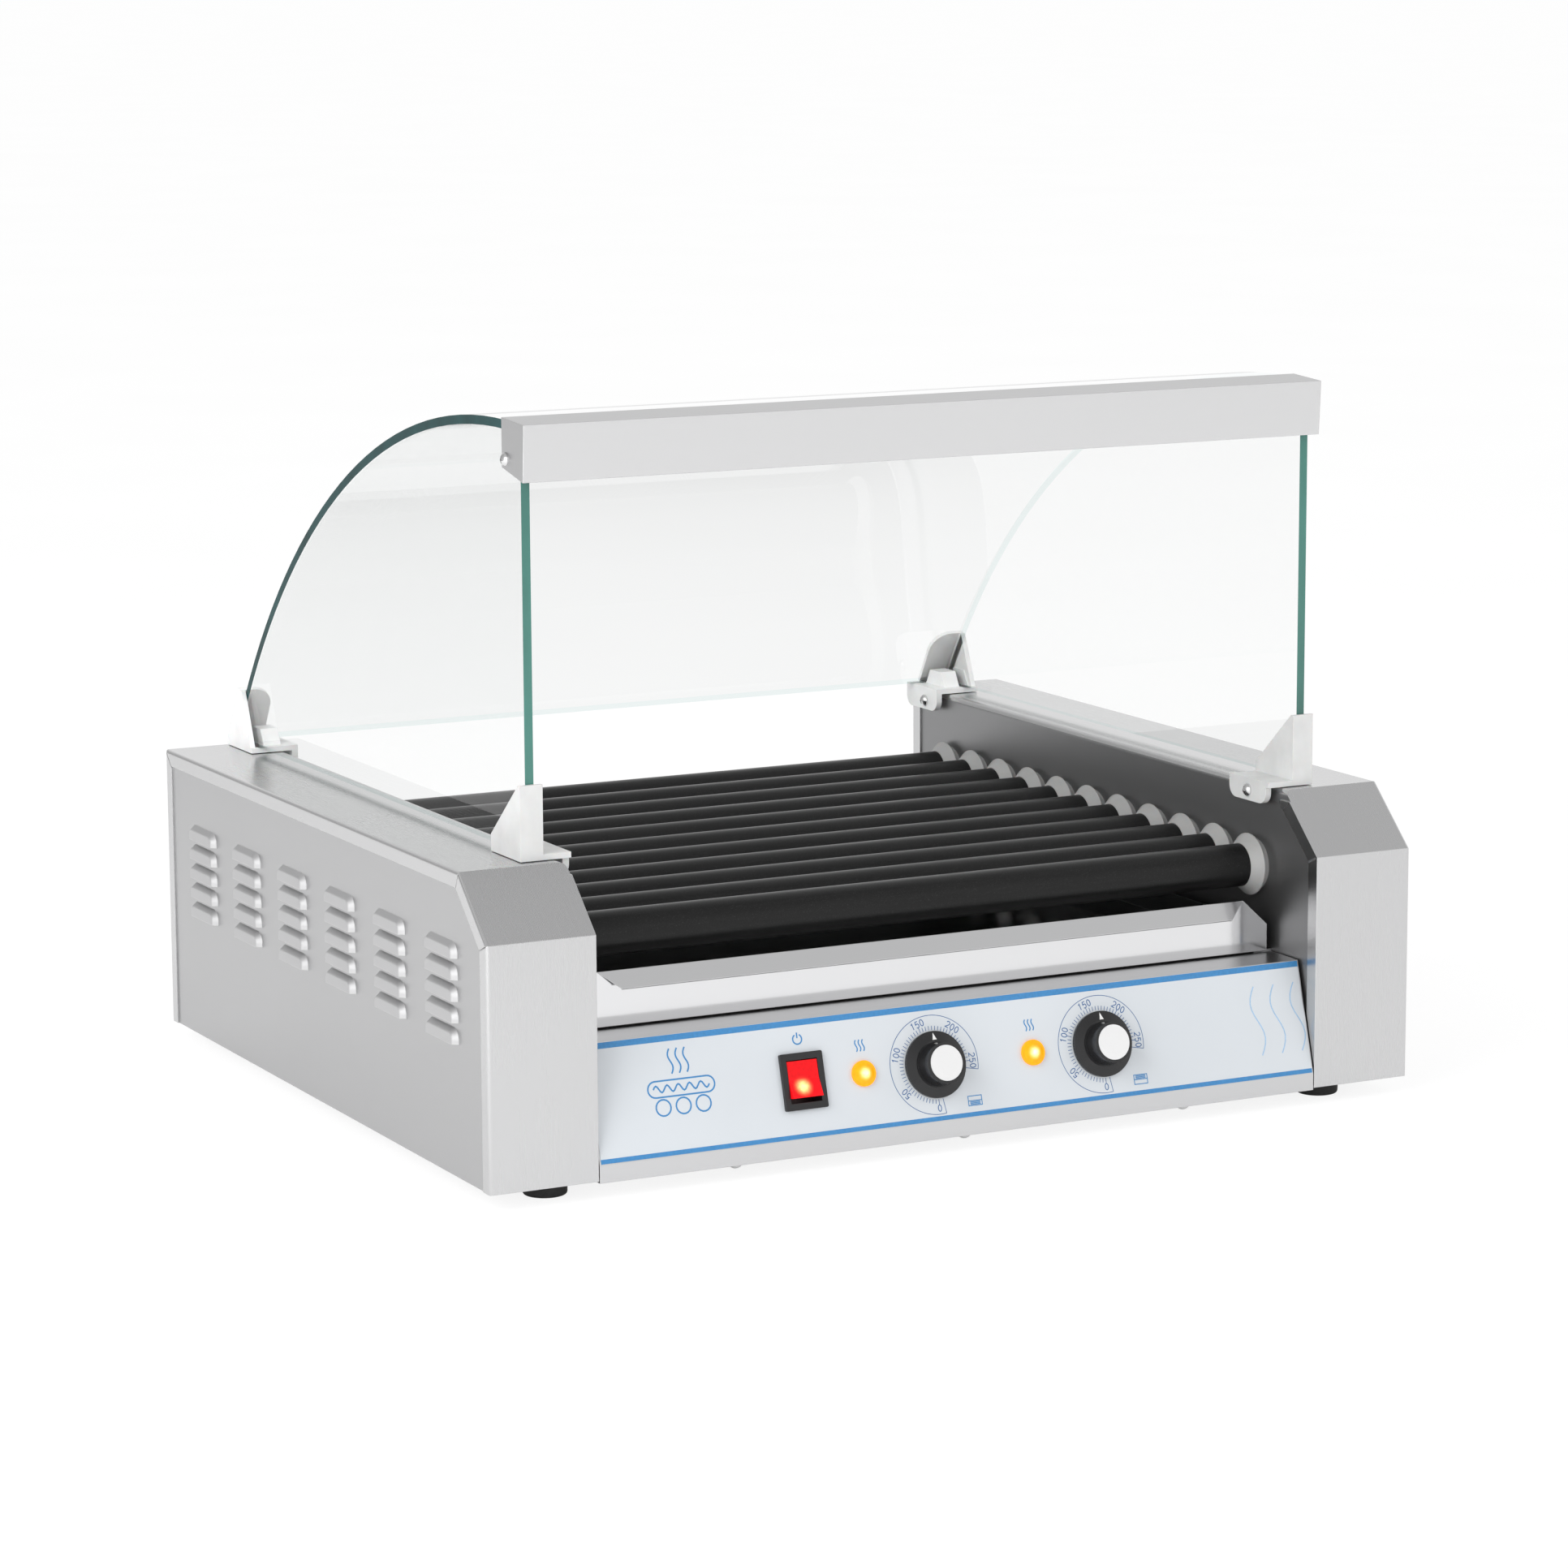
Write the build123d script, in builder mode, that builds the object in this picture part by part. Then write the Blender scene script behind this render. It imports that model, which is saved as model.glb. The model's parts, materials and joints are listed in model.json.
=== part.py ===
from build123d import *
import os
from math import acos, asin, atan2, cos, degrees, hypot, radians, sin, sqrt, tan

# Hot dog roller grill: two side casings joined by a base plate, a sloped control panel and a rear
# panel; eleven chain-driven rollers between the casings; a drip tray below them; a glass guard above.
# Millimetres. X runs along the rollers, the front faces -Y, +Z is up, and the origin is on the floor
# under the middle of the machine.

os.makedirs("parts", exist_ok=True)

# ---- driving sizes ----
WIDTH = 580.0
DEPTH = 480.0
FOOT_HEIGHT = 10.0
CASE_HEIGHT = 168.0
SIDE_WIDTH = 63.5        # one side casing
SHEET = 1.0              # stainless sheet of the casings and the tray
HEAVY_SHEET = 1.2        # base plate, control panel, brackets inside
CHAMFER_RUN = 36.0       # sloped top front corner of a side casing, measured along Y
CHAMFER_DROP = 33.6      # and along Z
FLANGE = 9.0             # folded edges round the open sides of a casing
GAP = 0.3                # free play between parts that only sit next to each other

ROLLER_COUNT = 11
ROLLER_PITCH = 36.5
ROLLER_RADIUS = 12.5
ROLLER_WALL = 1.2
FIRST_ROLLER_Y = -172.9
ROLLER_Z = FOOT_HEIGHT + 120.0
RUNNING = 0.05           # radial clearance of turning parts

# ---- places worked out from them ----
OUTER_X = WIDTH / 2
FLANGE_X = OUTER_X - SIDE_WIDTH          # face of a casing's inner flanges
WALL_X = FLANGE_X + SHEET                # face of the inner wall, set back behind those flanges
FRONT_Y = -DEPTH / 2
REAR_Y = DEPTH / 2
CASE_BOTTOM = FOOT_HEIGHT
CASE_TOP = FOOT_HEIGHT + CASE_HEIGHT
CHAMFER_LOW_Z = CASE_TOP - CHAMFER_DROP
CHAMFER_TOP_Y = FRONT_Y + CHAMFER_RUN
CHAMFER_SLOPE = atan2(CHAMFER_DROP, CHAMFER_RUN)
BASE_TOP = CASE_BOTTOM + HEAVY_SHEET
LAST_ROLLER_Y = FIRST_ROLLER_Y + (ROLLER_COUNT - 1) * ROLLER_PITCH
MID_ROLLER_Y = (FIRST_ROLLER_Y + LAST_ROLLER_Y) / 2
ROLLER_YS = [FIRST_ROLLER_Y + i * ROLLER_PITCH for i in range(ROLLER_COUNT)]


def write(piece, name):
    """Label a finished piece and write it as one STEP file."""
    piece.part.label = name
    export_step(piece.part, f"parts/{name}.step")


def mirror_to_left(piece):
    """The left-hand twin of a right-hand piece."""
    with BuildPart() as twin:
        mirror(objects=piece.part, about=Plane.YZ)
    return twin


# ---- side casings ----
TOP_BEND = 4.0           # soft bend where the casing top turns down into the inner wall
RIM_BEND = 2.0           # bend of the outer rim
SLIT = 0.6               # gap between two flanges at a corner
BUSH_BODY_RADIUS = 15.0
SCREW_RADIUS = 1.95      # M4
SCREW_HOLE_RADIUS = 2.05
TAB_SCREWS = ((-175.0, CASE_TOP - 3.6), (214.0, CASE_TOP - 5.4))   # (y, z) on the inner walls


def case_points(inset, bottom):
    """Side outline (y, z) of a casing, moved in by inset from every side but the bottom."""
    lower_drop = inset * tan((radians(90) - CHAMFER_SLOPE) / 2)
    upper_shift = inset * tan(CHAMFER_SLOPE / 2)
    return [
        (FRONT_Y + inset, bottom),
        (FRONT_Y + inset, CHAMFER_LOW_Z - lower_drop),
        (CHAMFER_TOP_Y + upper_shift, CASE_TOP - inset),
        (REAR_Y - inset, CASE_TOP - inset),
        (REAR_Y - inset, bottom),
    ]


BELOW = CASE_BOTTOM - 20     # cutting shapes reach this far under the casing
FRONT_CORNER = (FRONT_Y + FLANGE / 2 + 1, CHAMFER_LOW_Z - FLANGE / 4)
TOP_CORNER = (CHAMFER_TOP_Y + FLANGE / 5, CASE_TOP - FLANGE / 2 - 1)
REAR_CORNER = (REAR_Y - FLANGE / 2 - 1, CASE_TOP - FLANGE / 2 - 1)

with BuildPart() as right_casing_shell:
    with BuildSketch(Plane.YZ.offset(WALL_X)):
        Polygon(*case_points(0, CASE_BOTTOM), align=None)
    extrude(amount=OUTER_X - WALL_X)
    top_edges = edges().filter_by(Axis.Y).group_by(Axis.Z)[-1]
    fillet(top_edges.sort_by(Axis.X)[0], radius=TOP_BEND)
    outer_rim = faces().sort_by(Axis.X)[-1].edges().sort_by(Axis.Z)[1:]
    fillet(outer_rim, radius=RIM_BEND)
    offset(amount=-SHEET, openings=faces().sort_by(Axis.Z)[0])
    # the outer side is open inside its flanges
    with BuildSketch(Plane.YZ.offset(OUTER_X + SHEET)):
        Polygon(*case_points(FLANGE, BELOW), align=None)
    extrude(amount=-SHEET * 3, mode=Mode.SUBTRACT)
    # flanges of the front, chamfer and rear lap over the inner wall, below its top bend
    with BuildSketch(Plane.YZ.offset(FLANGE_X)):
        Polygon(*case_points(0, CASE_BOTTOM), align=None)
        Polygon(*case_points(FLANGE, BELOW), align=None, mode=Mode.SUBTRACT)
        with Locations((0, CASE_TOP)):
            Rectangle(DEPTH, 2 * (TOP_BEND + 2), mode=Mode.SUBTRACT)
        band_ends = (case_points(FLANGE, BELOW)[2][0], REAR_Y - FLANGE)
        with Locations((sum(band_ends) / 2, CASE_TOP)):
            Rectangle(band_ends[1] - band_ends[0], 2 * (FLANGE + 1), mode=Mode.SUBTRACT)
    extrude(amount=SHEET)
    # slits where two flanges meet at a corner
    with BuildSketch(Plane.YZ.offset(OUTER_X + SHEET)):
        with Locations(FRONT_CORNER):
            Rectangle(FLANGE, SLIT, rotation=degrees(CHAMFER_SLOPE) / 2 - 45)
        with Locations(TOP_CORNER):
            Rectangle(SLIT, FLANGE, rotation=degrees(CHAMFER_SLOPE) / 2)
        with Locations(REAR_CORNER):
            Rectangle(FLANGE * 1.4, SLIT, rotation=45)
    extrude(amount=-SHEET * 2.5, mode=Mode.SUBTRACT)
    with BuildSketch(Plane.YZ.offset(FLANGE_X)):
        with Locations(FRONT_CORNER):
            Rectangle(FLANGE, SLIT, rotation=degrees(CHAMFER_SLOPE) / 2 - 45)
    extrude(amount=SHEET, mode=Mode.SUBTRACT)
    # the inner wall stands on the base plate
    with BuildSketch(Plane.XY.offset(BELOW)):
        with Locations((WALL_X + SHEET / 2, 0)):
            Rectangle(SHEET, DEPTH - 2 * SHEET)
    extrude(amount=BASE_TOP - BELOW, mode=Mode.SUBTRACT)
    # holes for the roller bushings
    with BuildSketch(Plane.YZ.offset(WALL_X)):
        with Locations(*[(y, ROLLER_Z) for y in ROLLER_YS]):
            Circle(BUSH_BODY_RADIUS + RUNNING)
    extrude(amount=SHEET, mode=Mode.SUBTRACT)
    # holes for the screws of the glass brackets
    with BuildSketch(Plane.YZ.offset(WALL_X)):
        with Locations(*TAB_SCREWS):
            Circle(SCREW_HOLE_RADIUS)
    extrude(amount=TOP_BEND, mode=Mode.SUBTRACT)

CORD_X = -(OUTER_X - 32)
CORD_Z = 42.0
CORD_RADIUS = 3.8
GLAND_RADIUS = 7.0

with BuildPart() as left_casing_shell:
    mirror(objects=right_casing_shell.part, about=Plane.YZ)
    # outlet for the power cord
    with BuildSketch(Plane.XZ.offset(-REAR_Y - SHEET)):
        with Locations((CORD_X, CORD_Z)):
            Circle(GLAND_RADIUS)
    extrude(amount=3 * SHEET, mode=Mode.SUBTRACT)

# ---- louvred side panels ----
LOUVRE_COLUMNS = 6
LOUVRE_ROWS = 5
LOUVRE_COLUMN_PITCH = 71.7
LOUVRE_ROW_PITCH = 11.7
LOUVRE_WIDTH = 40.5
LOUVRE_HEIGHT = 8.8
LOUVRE_PROUD = 3.2       # how far a hood stands out of the panel
LOUVRE_SHOULDER = 6.5    # radius of a hood's upper corners
LOUVRE_DRAFT = 38        # slope of its top and ends
LOUVRE_EDGE = 1.4        # rounding round its flat face
LOUVRE_SKIN = 0.8
LOUVRE_LOW_Z = 83.4
PANEL_FACE_X = OUTER_X - SHEET
PANEL_INSET = SHEET + RIM_BEND / 2 + GAP


def louvre(shrink):
    """Pressed hood on the panel's face, open underneath, made smaller all round by shrink."""
    with BuildPart() as hood:
        with BuildSketch(Plane.YZ.offset(PANEL_FACE_X)) as outline:
            Rectangle(LOUVRE_WIDTH - 2 * shrink, 2 * (LOUVRE_HEIGHT - shrink))
            fillet(vertices(), radius=LOUVRE_SHOULDER - shrink)
        extrude(amount=LOUVRE_PROUD - shrink, taper=LOUVRE_DRAFT)
        fillet(faces().sort_by(Axis.X)[-1].edges(), radius=LOUVRE_EDGE - shrink)
        # root that reaches back through the sheet
        extrude(outline.sketch, amount=-SHEET)
        split(bisect_by=Plane.XY, keep=Keep.TOP)
    return hood.part


louvre_places = [
    (0, (c - (LOUVRE_COLUMNS - 1) / 2) * LOUVRE_COLUMN_PITCH, LOUVRE_LOW_Z + r * LOUVRE_ROW_PITCH)
    for c in range(LOUVRE_COLUMNS)
    for r in range(LOUVRE_ROWS)
]

with BuildPart() as right_louvre_panel:
    with BuildSketch(Plane.YZ.offset(PANEL_FACE_X - SHEET)):
        Polygon(*case_points(PANEL_INSET, CASE_BOTTOM), align=None)
    extrude(amount=SHEET)
    with Locations(*louvre_places):
        add(louvre(0))
    with Locations(*louvre_places):
        add(louvre(LOUVRE_SKIN), mode=Mode.SUBTRACT)

left_louvre_panel = mirror_to_left(right_louvre_panel)

# ---- base plate, feet and the screws from below ----
FOOT_X = 246.0
FOOT_Y = 213.0
FOOT_RADIUS = 12.5
FOOT_TAPER = 1.5
FOOT_POCKET_RADIUS = 5.0
FOOT_POCKET = 5.0
HEAD_RADIUS = 3.8
HEAD_HEIGHT = 3.0
HEAD_EDGE = 0.8          # straight rim of the head
SCREW_LENGTH = 9.0
VENT_COUNT = 9
VENT_PITCH = 14.0
VENT_SIZE = (30.0, 4.0)

PANEL_SCREW_XS = (-142.0, 0.0, 142.0)
PANEL_SCREW_Y = FRONT_Y + 6.5
PANEL_BOTTOM = CASE_BOTTOM - HEAVY_SHEET

foot_places = [(sx * FOOT_X, sy * FOOT_Y) for sx in (-1, 1) for sy in (-1, 1)]


def dome_radius(half_width, rise):
    """Radius of the sphere whose cap has this half width and rise."""
    return (half_width**2 + rise**2) / (2 * rise)


def pan_screw(length):
    """Cross-recess pan-head screw pointing up, its head hanging below z = 0."""
    ball = dome_radius(HEAD_RADIUS, HEAD_HEIGHT - HEAD_EDGE)
    with BuildPart() as screw:
        with BuildSketch(Plane.XZ):
            with BuildLine():
                Polyline((0, -HEAD_HEIGHT), (0, length), (SCREW_RADIUS, length), (SCREW_RADIUS, 0),
                         (HEAD_RADIUS, 0), (HEAD_RADIUS, -HEAD_EDGE))
                CenterArc((0, ball - HEAD_HEIGHT), ball, -90, degrees(asin(HEAD_RADIUS / ball)))
            make_face()
        revolve(axis=Axis.Z)
        with BuildSketch(Plane.XY.offset(-HEAD_HEIGHT)):
            Rectangle(HEAD_RADIUS, HEAD_RADIUS / 5)
            Rectangle(HEAD_RADIUS / 5, HEAD_RADIUS)
        extrude(amount=HEAD_HEIGHT / 2, mode=Mode.SUBTRACT)
    return screw.part


with BuildPart() as base_plate:
    with BuildSketch(Plane.XY.offset(CASE_BOTTOM)):
        Rectangle(2 * (PANEL_FACE_X - SHEET - GAP), DEPTH - 2 * (SHEET + GAP))
        # notches let the casings' inner flanges down to the floor side
        with GridLocations(2 * (FLANGE_X + SHEET / 2), DEPTH - FLANGE, 2, 2):
            Rectangle(SHEET + 2 * GAP, FLANGE + 2 * GAP, mode=Mode.SUBTRACT)
        with Locations(*foot_places, *[(x, PANEL_SCREW_Y) for x in PANEL_SCREW_XS]):
            Circle(SCREW_HOLE_RADIUS, mode=Mode.SUBTRACT)
        # cooling slots under both side compartments
        with GridLocations(2 * (WALL_X + SIDE_WIDTH / 2), VENT_PITCH, 2, VENT_COUNT):
            SlotOverall(*VENT_SIZE, mode=Mode.SUBTRACT)
    extrude(amount=HEAVY_SHEET)

with BuildPart() as one_foot:
    with BuildSketch(Plane.XZ):
        with BuildLine():
            bottom_edge = (FOOT_RADIUS - FOOT_TAPER, 0)
            rounded = (FOOT_RADIUS - FOOT_TAPER / 4, FOOT_TAPER)
            Polyline(rounded, (FOOT_RADIUS, FOOT_HEIGHT), (SCREW_HOLE_RADIUS, FOOT_HEIGHT),
                     (SCREW_HOLE_RADIUS, FOOT_POCKET), (FOOT_POCKET_RADIUS, FOOT_POCKET),
                     (FOOT_POCKET_RADIUS, 0), bottom_edge)
            RadiusArc(bottom_edge, rounded, -FOOT_TAPER)
        make_face()
    revolve(axis=Axis.Z)

with BuildPart() as rubber_feet:
    with Locations(*foot_places):
        add(one_foot.part)

with BuildPart() as base_screws:
    with Locations(*[(x, y, FOOT_POCKET) for x, y in foot_places]):
        add(pan_screw(SCREW_LENGTH))
    with Locations(*[(x, PANEL_SCREW_Y, PANEL_BOTTOM) for x in PANEL_SCREW_XS]):
        add(pan_screw(SCREW_LENGTH))

# ---- rear panel ----
REAR_PANEL_TOP = 122.0
REAR_PANEL_HALF = FLANGE_X - GAP
REAR_PANEL_LIP = 12.0


def folded_strip(points, thickness, side):
    """Section of a folded sheet, its given face along the points, drawn in the open sketch."""
    with BuildLine() as strip:
        Polyline(*points)
        offset(amount=thickness, side=side, kind=Kind.INTERSECTION)
    make_face(strip.edges())


with BuildPart() as rear_panel:
    with BuildSketch(Plane.YZ.offset(-REAR_PANEL_HALF)):
        folded_strip(
            [(REAR_Y - REAR_PANEL_LIP, BASE_TOP), (REAR_Y, BASE_TOP), (REAR_Y, REAR_PANEL_TOP),
             (REAR_Y - REAR_PANEL_LIP, REAR_PANEL_TOP)],
            SHEET, Side.LEFT)
    extrude(amount=2 * REAR_PANEL_HALF)

# ---- control panel: a ledge under the tray, a sloped face, a front flange, a foot under the base ----
LEDGE_Z = FOOT_HEIGHT + 71.8
LEDGE_FOLD = 14.0        # fold down at the back of the ledge
FOOT_FOLD = 22.0         # fold under the base plate
LEDGE_REAR_Y = -192.0
SLOPE_TOP_Y = -222.0
SLOPE_BOTTOM_Z = FOOT_HEIGHT + 8.5
PANEL_HALF = FLANGE_X - 0.6
SLOPE_LENGTH = hypot(FRONT_Y - SLOPE_TOP_Y, LEDGE_Z - SLOPE_BOTTOM_Z)
TILT = asin((SLOPE_TOP_Y - FRONT_Y) / SLOPE_LENGTH)
CONTROL_ROW = 34.1       # controls' distance down the slope

FRONT_KNOB_X = -17.8
BACK_KNOB_X = 89.2
LAMP_OFFSET = -44.5      # each lamp from its knob
SWITCH_X = -99.7
SPINDLE_RADIUS = 3.0
SPINDLE_HOLE_RADIUS = 3.6
LAMP_HOLE_RADIUS = 6.0
SWITCH_BODY = (22.0, 28.4)

knob_xs = (FRONT_KNOB_X, BACK_KNOB_X)
lamp_xs = (FRONT_KNOB_X + LAMP_OFFSET, BACK_KNOB_X + LAMP_OFFSET)


def on_panel(x, height=0.0, down=CONTROL_ROW):
    """Plane on the sloped face: +X along the panel, +Y up the slope, +Z out of it."""
    return Plane(
        origin=(
            x,
            SLOPE_TOP_Y - down * sin(TILT) - height * cos(TILT),
            LEDGE_Z - down * cos(TILT) + height * sin(TILT),
        ),
        x_dir=(1, 0, 0),
        z_dir=(0, -cos(TILT), sin(TILT)),
    )


with BuildPart() as control_panel:
    with BuildSketch(Plane.YZ.offset(-PANEL_HALF)):
        folded_strip(
            [(LEDGE_REAR_Y, LEDGE_Z - LEDGE_FOLD), (LEDGE_REAR_Y, LEDGE_Z), (SLOPE_TOP_Y, LEDGE_Z),
             (FRONT_Y, SLOPE_BOTTOM_Z), (FRONT_Y, PANEL_BOTTOM), (FRONT_Y + FOOT_FOLD, PANEL_BOTTOM)],
            HEAVY_SHEET, Side.LEFT)
    extrude(amount=2 * PANEL_HALF)
    with BuildSketch(on_panel(0)):
        with Locations(*[(x, 0) for x in knob_xs]):
            Circle(SPINDLE_HOLE_RADIUS)
        with Locations(*[(x, 0) for x in lamp_xs]):
            Circle(LAMP_HOLE_RADIUS)
        with Locations((SWITCH_X, 0)):
            Rectangle(SWITCH_BODY[0] + 2 * GAP, SWITCH_BODY[1] + 2 * GAP)
    extrude(amount=-2 * HEAVY_SHEET, mode=Mode.SUBTRACT)
    with BuildSketch(Plane.XY.offset(PANEL_BOTTOM)):
        with Locations(*[(x, PANEL_SCREW_Y) for x in PANEL_SCREW_XS]):
            Circle(SCREW_HOLE_RADIUS)
    extrude(amount=HEAVY_SHEET, mode=Mode.SUBTRACT)

OVERLAY_THICK = 0.3
OVERLAY_MARGIN = 0.8     # bare metal above and below the printed overlay

with BuildPart() as panel_overlay:
    with BuildSketch(on_panel(0)):
        with Locations((0, CONTROL_ROW - SLOPE_LENGTH / 2)):
            Rectangle(2 * (PANEL_HALF - OVERLAY_MARGIN), SLOPE_LENGTH - 2 * OVERLAY_MARGIN)
        with Locations(*[(x, 0) for x in knob_xs]):
            Circle(SPINDLE_HOLE_RADIUS, mode=Mode.SUBTRACT)
        with Locations(*[(x, 0) for x in lamp_xs]):
            Circle(LAMP_HOLE_RADIUS, mode=Mode.SUBTRACT)
        with Locations((SWITCH_X, 0)):
            Rectangle(SWITCH_BODY[0] + 2 * GAP, SWITCH_BODY[1] + 2 * GAP, mode=Mode.SUBTRACT)
    extrude(amount=OVERLAY_THICK)

# ---- thermostats and their knobs ----
THERMOSTAT_SIDE = 36.0
THERMOSTAT_DEPTH = 20.0
THERMOSTAT_CORNER = 3.0
SPINDLE_REACH = 10.0
SKIRT_RADIUS = 18.6
SKIRT_EDGE = 1.8
SKIRT_LIFT = 1.0         # skirt's clearance above the panel face
CONE_RADIUS = 13.2
CONE_TOP = 4.6
GRIP_RADIUS = 12.4
GRIP_TOP_RADIUS = 11.6
KNOB_TOP = 15.0
FLUTES = 40
FLUTE_RADIUS = 0.55
CAP_RADIUS = 9.9
CAP_THICK = 0.9


def thermostat(x):
    """Capillary thermostat behind the panel, with the spindle that carries the knob."""
    with BuildPart() as body:
        with BuildSketch(on_panel(x, -HEAVY_SHEET)):
            RectangleRounded(THERMOSTAT_SIDE, THERMOSTAT_SIDE, THERMOSTAT_CORNER)
        extrude(amount=-THERMOSTAT_DEPTH)
        with BuildSketch(on_panel(x, -HEAVY_SHEET)):
            Circle(SPINDLE_RADIUS)
        extrude(amount=HEAVY_SHEET + SPINDLE_REACH)
    return body


def knob(x):
    """Skirted, fluted knob with a blind bore for the spindle and a seat for its cap."""
    with BuildPart() as body:
        with BuildSketch(on_panel(x, SKIRT_LIFT)):
            Circle(SKIRT_RADIUS)
        extrude(amount=SKIRT_EDGE)
        with BuildSketch(on_panel(x, SKIRT_LIFT + SKIRT_EDGE)):
            Circle(SKIRT_RADIUS)
        with BuildSketch(on_panel(x, CONE_TOP)):
            Circle(CONE_RADIUS)
        loft()
        with BuildSketch(on_panel(x, CONE_TOP)):
            Circle(GRIP_RADIUS)
        with BuildSketch(on_panel(x, KNOB_TOP)):
            Circle(GRIP_TOP_RADIUS)
        loft()
        with BuildSketch(on_panel(x, CONE_TOP)):
            with PolarLocations(GRIP_RADIUS + FLUTE_RADIUS / 3, FLUTES):
                Circle(FLUTE_RADIUS)
        extrude(amount=KNOB_TOP - CONE_TOP, mode=Mode.SUBTRACT)
        with BuildSketch(on_panel(x, KNOB_TOP - CAP_THICK)):
            Circle(CAP_RADIUS + GAP / 3)
        extrude(amount=CAP_THICK, mode=Mode.SUBTRACT)
        with BuildSketch(on_panel(x)):
            Circle(SPINDLE_RADIUS + RUNNING)
        extrude(amount=SPINDLE_REACH + RUNNING, mode=Mode.SUBTRACT)
    return body


def knob_cap(x):
    """Thin spun disc let into the front of a knob."""
    with BuildPart() as disc:
        with BuildSketch(on_panel(x, KNOB_TOP - CAP_THICK)):
            Circle(CAP_RADIUS)
        extrude(amount=CAP_THICK + 0.1)
    return disc


front_thermostat = thermostat(FRONT_KNOB_X)
back_thermostat = thermostat(BACK_KNOB_X)
front_knob = knob(FRONT_KNOB_X)
back_knob = knob(BACK_KNOB_X)
front_knob_cap = knob_cap(FRONT_KNOB_X)
back_knob_cap = knob_cap(BACK_KNOB_X)

# ---- power switch: bezel and housing, with a rocker that pivots across the machine ----
BEZEL = (25.8, 31.2)
BEZEL_THICK = 2.2
BEZEL_CORNER = 1.0
ROCKER_OPENING = (19.0, 23.6)
HOUSING_DEPTH = 24.0
CAVITY_DEPTH = 12.0
ROCKER_HALF_WIDTH = 9.2
ROCKER_HALF_LENGTH = 10.3
ROCKER_PIVOT = -3.0      # pivot height relative to the panel face
ROCKER_EDGE = 3.9        # height of the rocker's end edges
ROCKER_MIDDLE = 2.4      # and of the valley between them
ROCKER_ANGLE = 9.0       # tilt at rest, upper end pressed in
ROCKER_TAPER = 1.5       # ends lean in towards the pivot
ROCKER_BELLY = 3.5       # depth below the pivot
ROCKER_PIN_RADIUS = 1.2
ROCKER_PIN_HALF = 10.4   # half length over both pivot pins

with BuildPart() as switch_housing:
    with BuildSketch(on_panel(SWITCH_X, OVERLAY_THICK)):
        RectangleRounded(*BEZEL, BEZEL_CORNER)
    extrude(amount=BEZEL_THICK)
    with BuildSketch(on_panel(SWITCH_X, OVERLAY_THICK)):
        Rectangle(*SWITCH_BODY)
    extrude(amount=-HOUSING_DEPTH)
    with BuildSketch(on_panel(SWITCH_X, OVERLAY_THICK + BEZEL_THICK)):
        Rectangle(*ROCKER_OPENING)
    extrude(amount=-BEZEL_THICK - CAVITY_DEPTH, mode=Mode.SUBTRACT)
    # bearing holes for the rocker's pivot pins
    with Locations(Location(on_panel(SWITCH_X, ROCKER_PIVOT).origin, (0, 90, 0))):
        Cylinder(ROCKER_PIN_RADIUS + RUNNING, 2 * ROCKER_PIN_HALF + GAP, mode=Mode.SUBTRACT)

rocker_pivot = on_panel(SWITCH_X - ROCKER_HALF_WIDTH, ROCKER_PIVOT)
rocker_side = Plane(
    origin=rocker_pivot.origin, x_dir=rocker_pivot.y_dir, z_dir=(1, 0, 0)
).rotated((-ROCKER_ANGLE, 0, 0))

with BuildPart() as rocker_key:
    with BuildSketch(rocker_side):
        with BuildLine():
            end_top = ROCKER_EDGE - ROCKER_PIVOT
            belly = ROCKER_HALF_LENGTH - ROCKER_TAPER
            Polyline((-ROCKER_HALF_LENGTH, end_top), (-belly, 0), (-belly / 2, -ROCKER_BELLY),
                     (belly / 2, -ROCKER_BELLY), (belly, 0), (ROCKER_HALF_LENGTH, end_top))
            Polyline((ROCKER_HALF_LENGTH, end_top), (0, ROCKER_MIDDLE - ROCKER_PIVOT),
                     (-ROCKER_HALF_LENGTH, end_top))
        make_face()
    extrude(amount=2 * ROCKER_HALF_WIDTH)
    with Locations(Location(on_panel(SWITCH_X, ROCKER_PIVOT).origin, (0, 90, 0))):
        Cylinder(ROCKER_PIN_RADIUS, 2 * ROCKER_PIN_HALF)

# ---- indicator lamps ----
LENS_RADIUS = 7.2
LENS_RIM = 1.6
LENS_RIM_WIDTH = 1.2
LENS_DOME = 3.4
LAMP_BODY_RADIUS = 5.8
LAMP_BODY = 18.0


def lamp(x):
    """Indicator lamp: rimmed dome lens in front, round body behind the panel."""
    dome_half = LENS_RADIUS - LENS_RIM_WIDTH
    ball = dome_radius(dome_half, LENS_DOME - LENS_RIM)
    with BuildPart() as body:
        with BuildSketch(Plane.XZ):
            with BuildLine():
                Polyline((0, LENS_DOME), (0, -LAMP_BODY), (LAMP_BODY_RADIUS, -LAMP_BODY),
                         (LAMP_BODY_RADIUS, 0), (LENS_RADIUS, 0), (LENS_RADIUS, LENS_RIM),
                         (dome_half, LENS_RIM))
                CenterArc((0, LENS_DOME - ball), ball, 90, -degrees(asin(dome_half / ball)))
            make_face()
        revolve(axis=Axis.Z)
    return body.part.moved(on_panel(x, OVERLAY_THICK).location)


with BuildPart() as heat_lamps:
    for x in lamp_xs:
        add(lamp(x))

# ---- rollers with their sprockets ----
CHAIN_PITCH = 6.35
ROLLER_TEETH = 15
MOTOR_TEETH = 12
CHAIN_ROLLER_RADIUS = 1.65
TOOTH_TIP = 1.3          # tip circle beyond the pitch circle
SPROCKET_X = WALL_X + 7.5
SPROCKET_THICK = 2.5
ROLLER_HALF = WALL_X + 13.0
MOTOR_Z = 68.0


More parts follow.
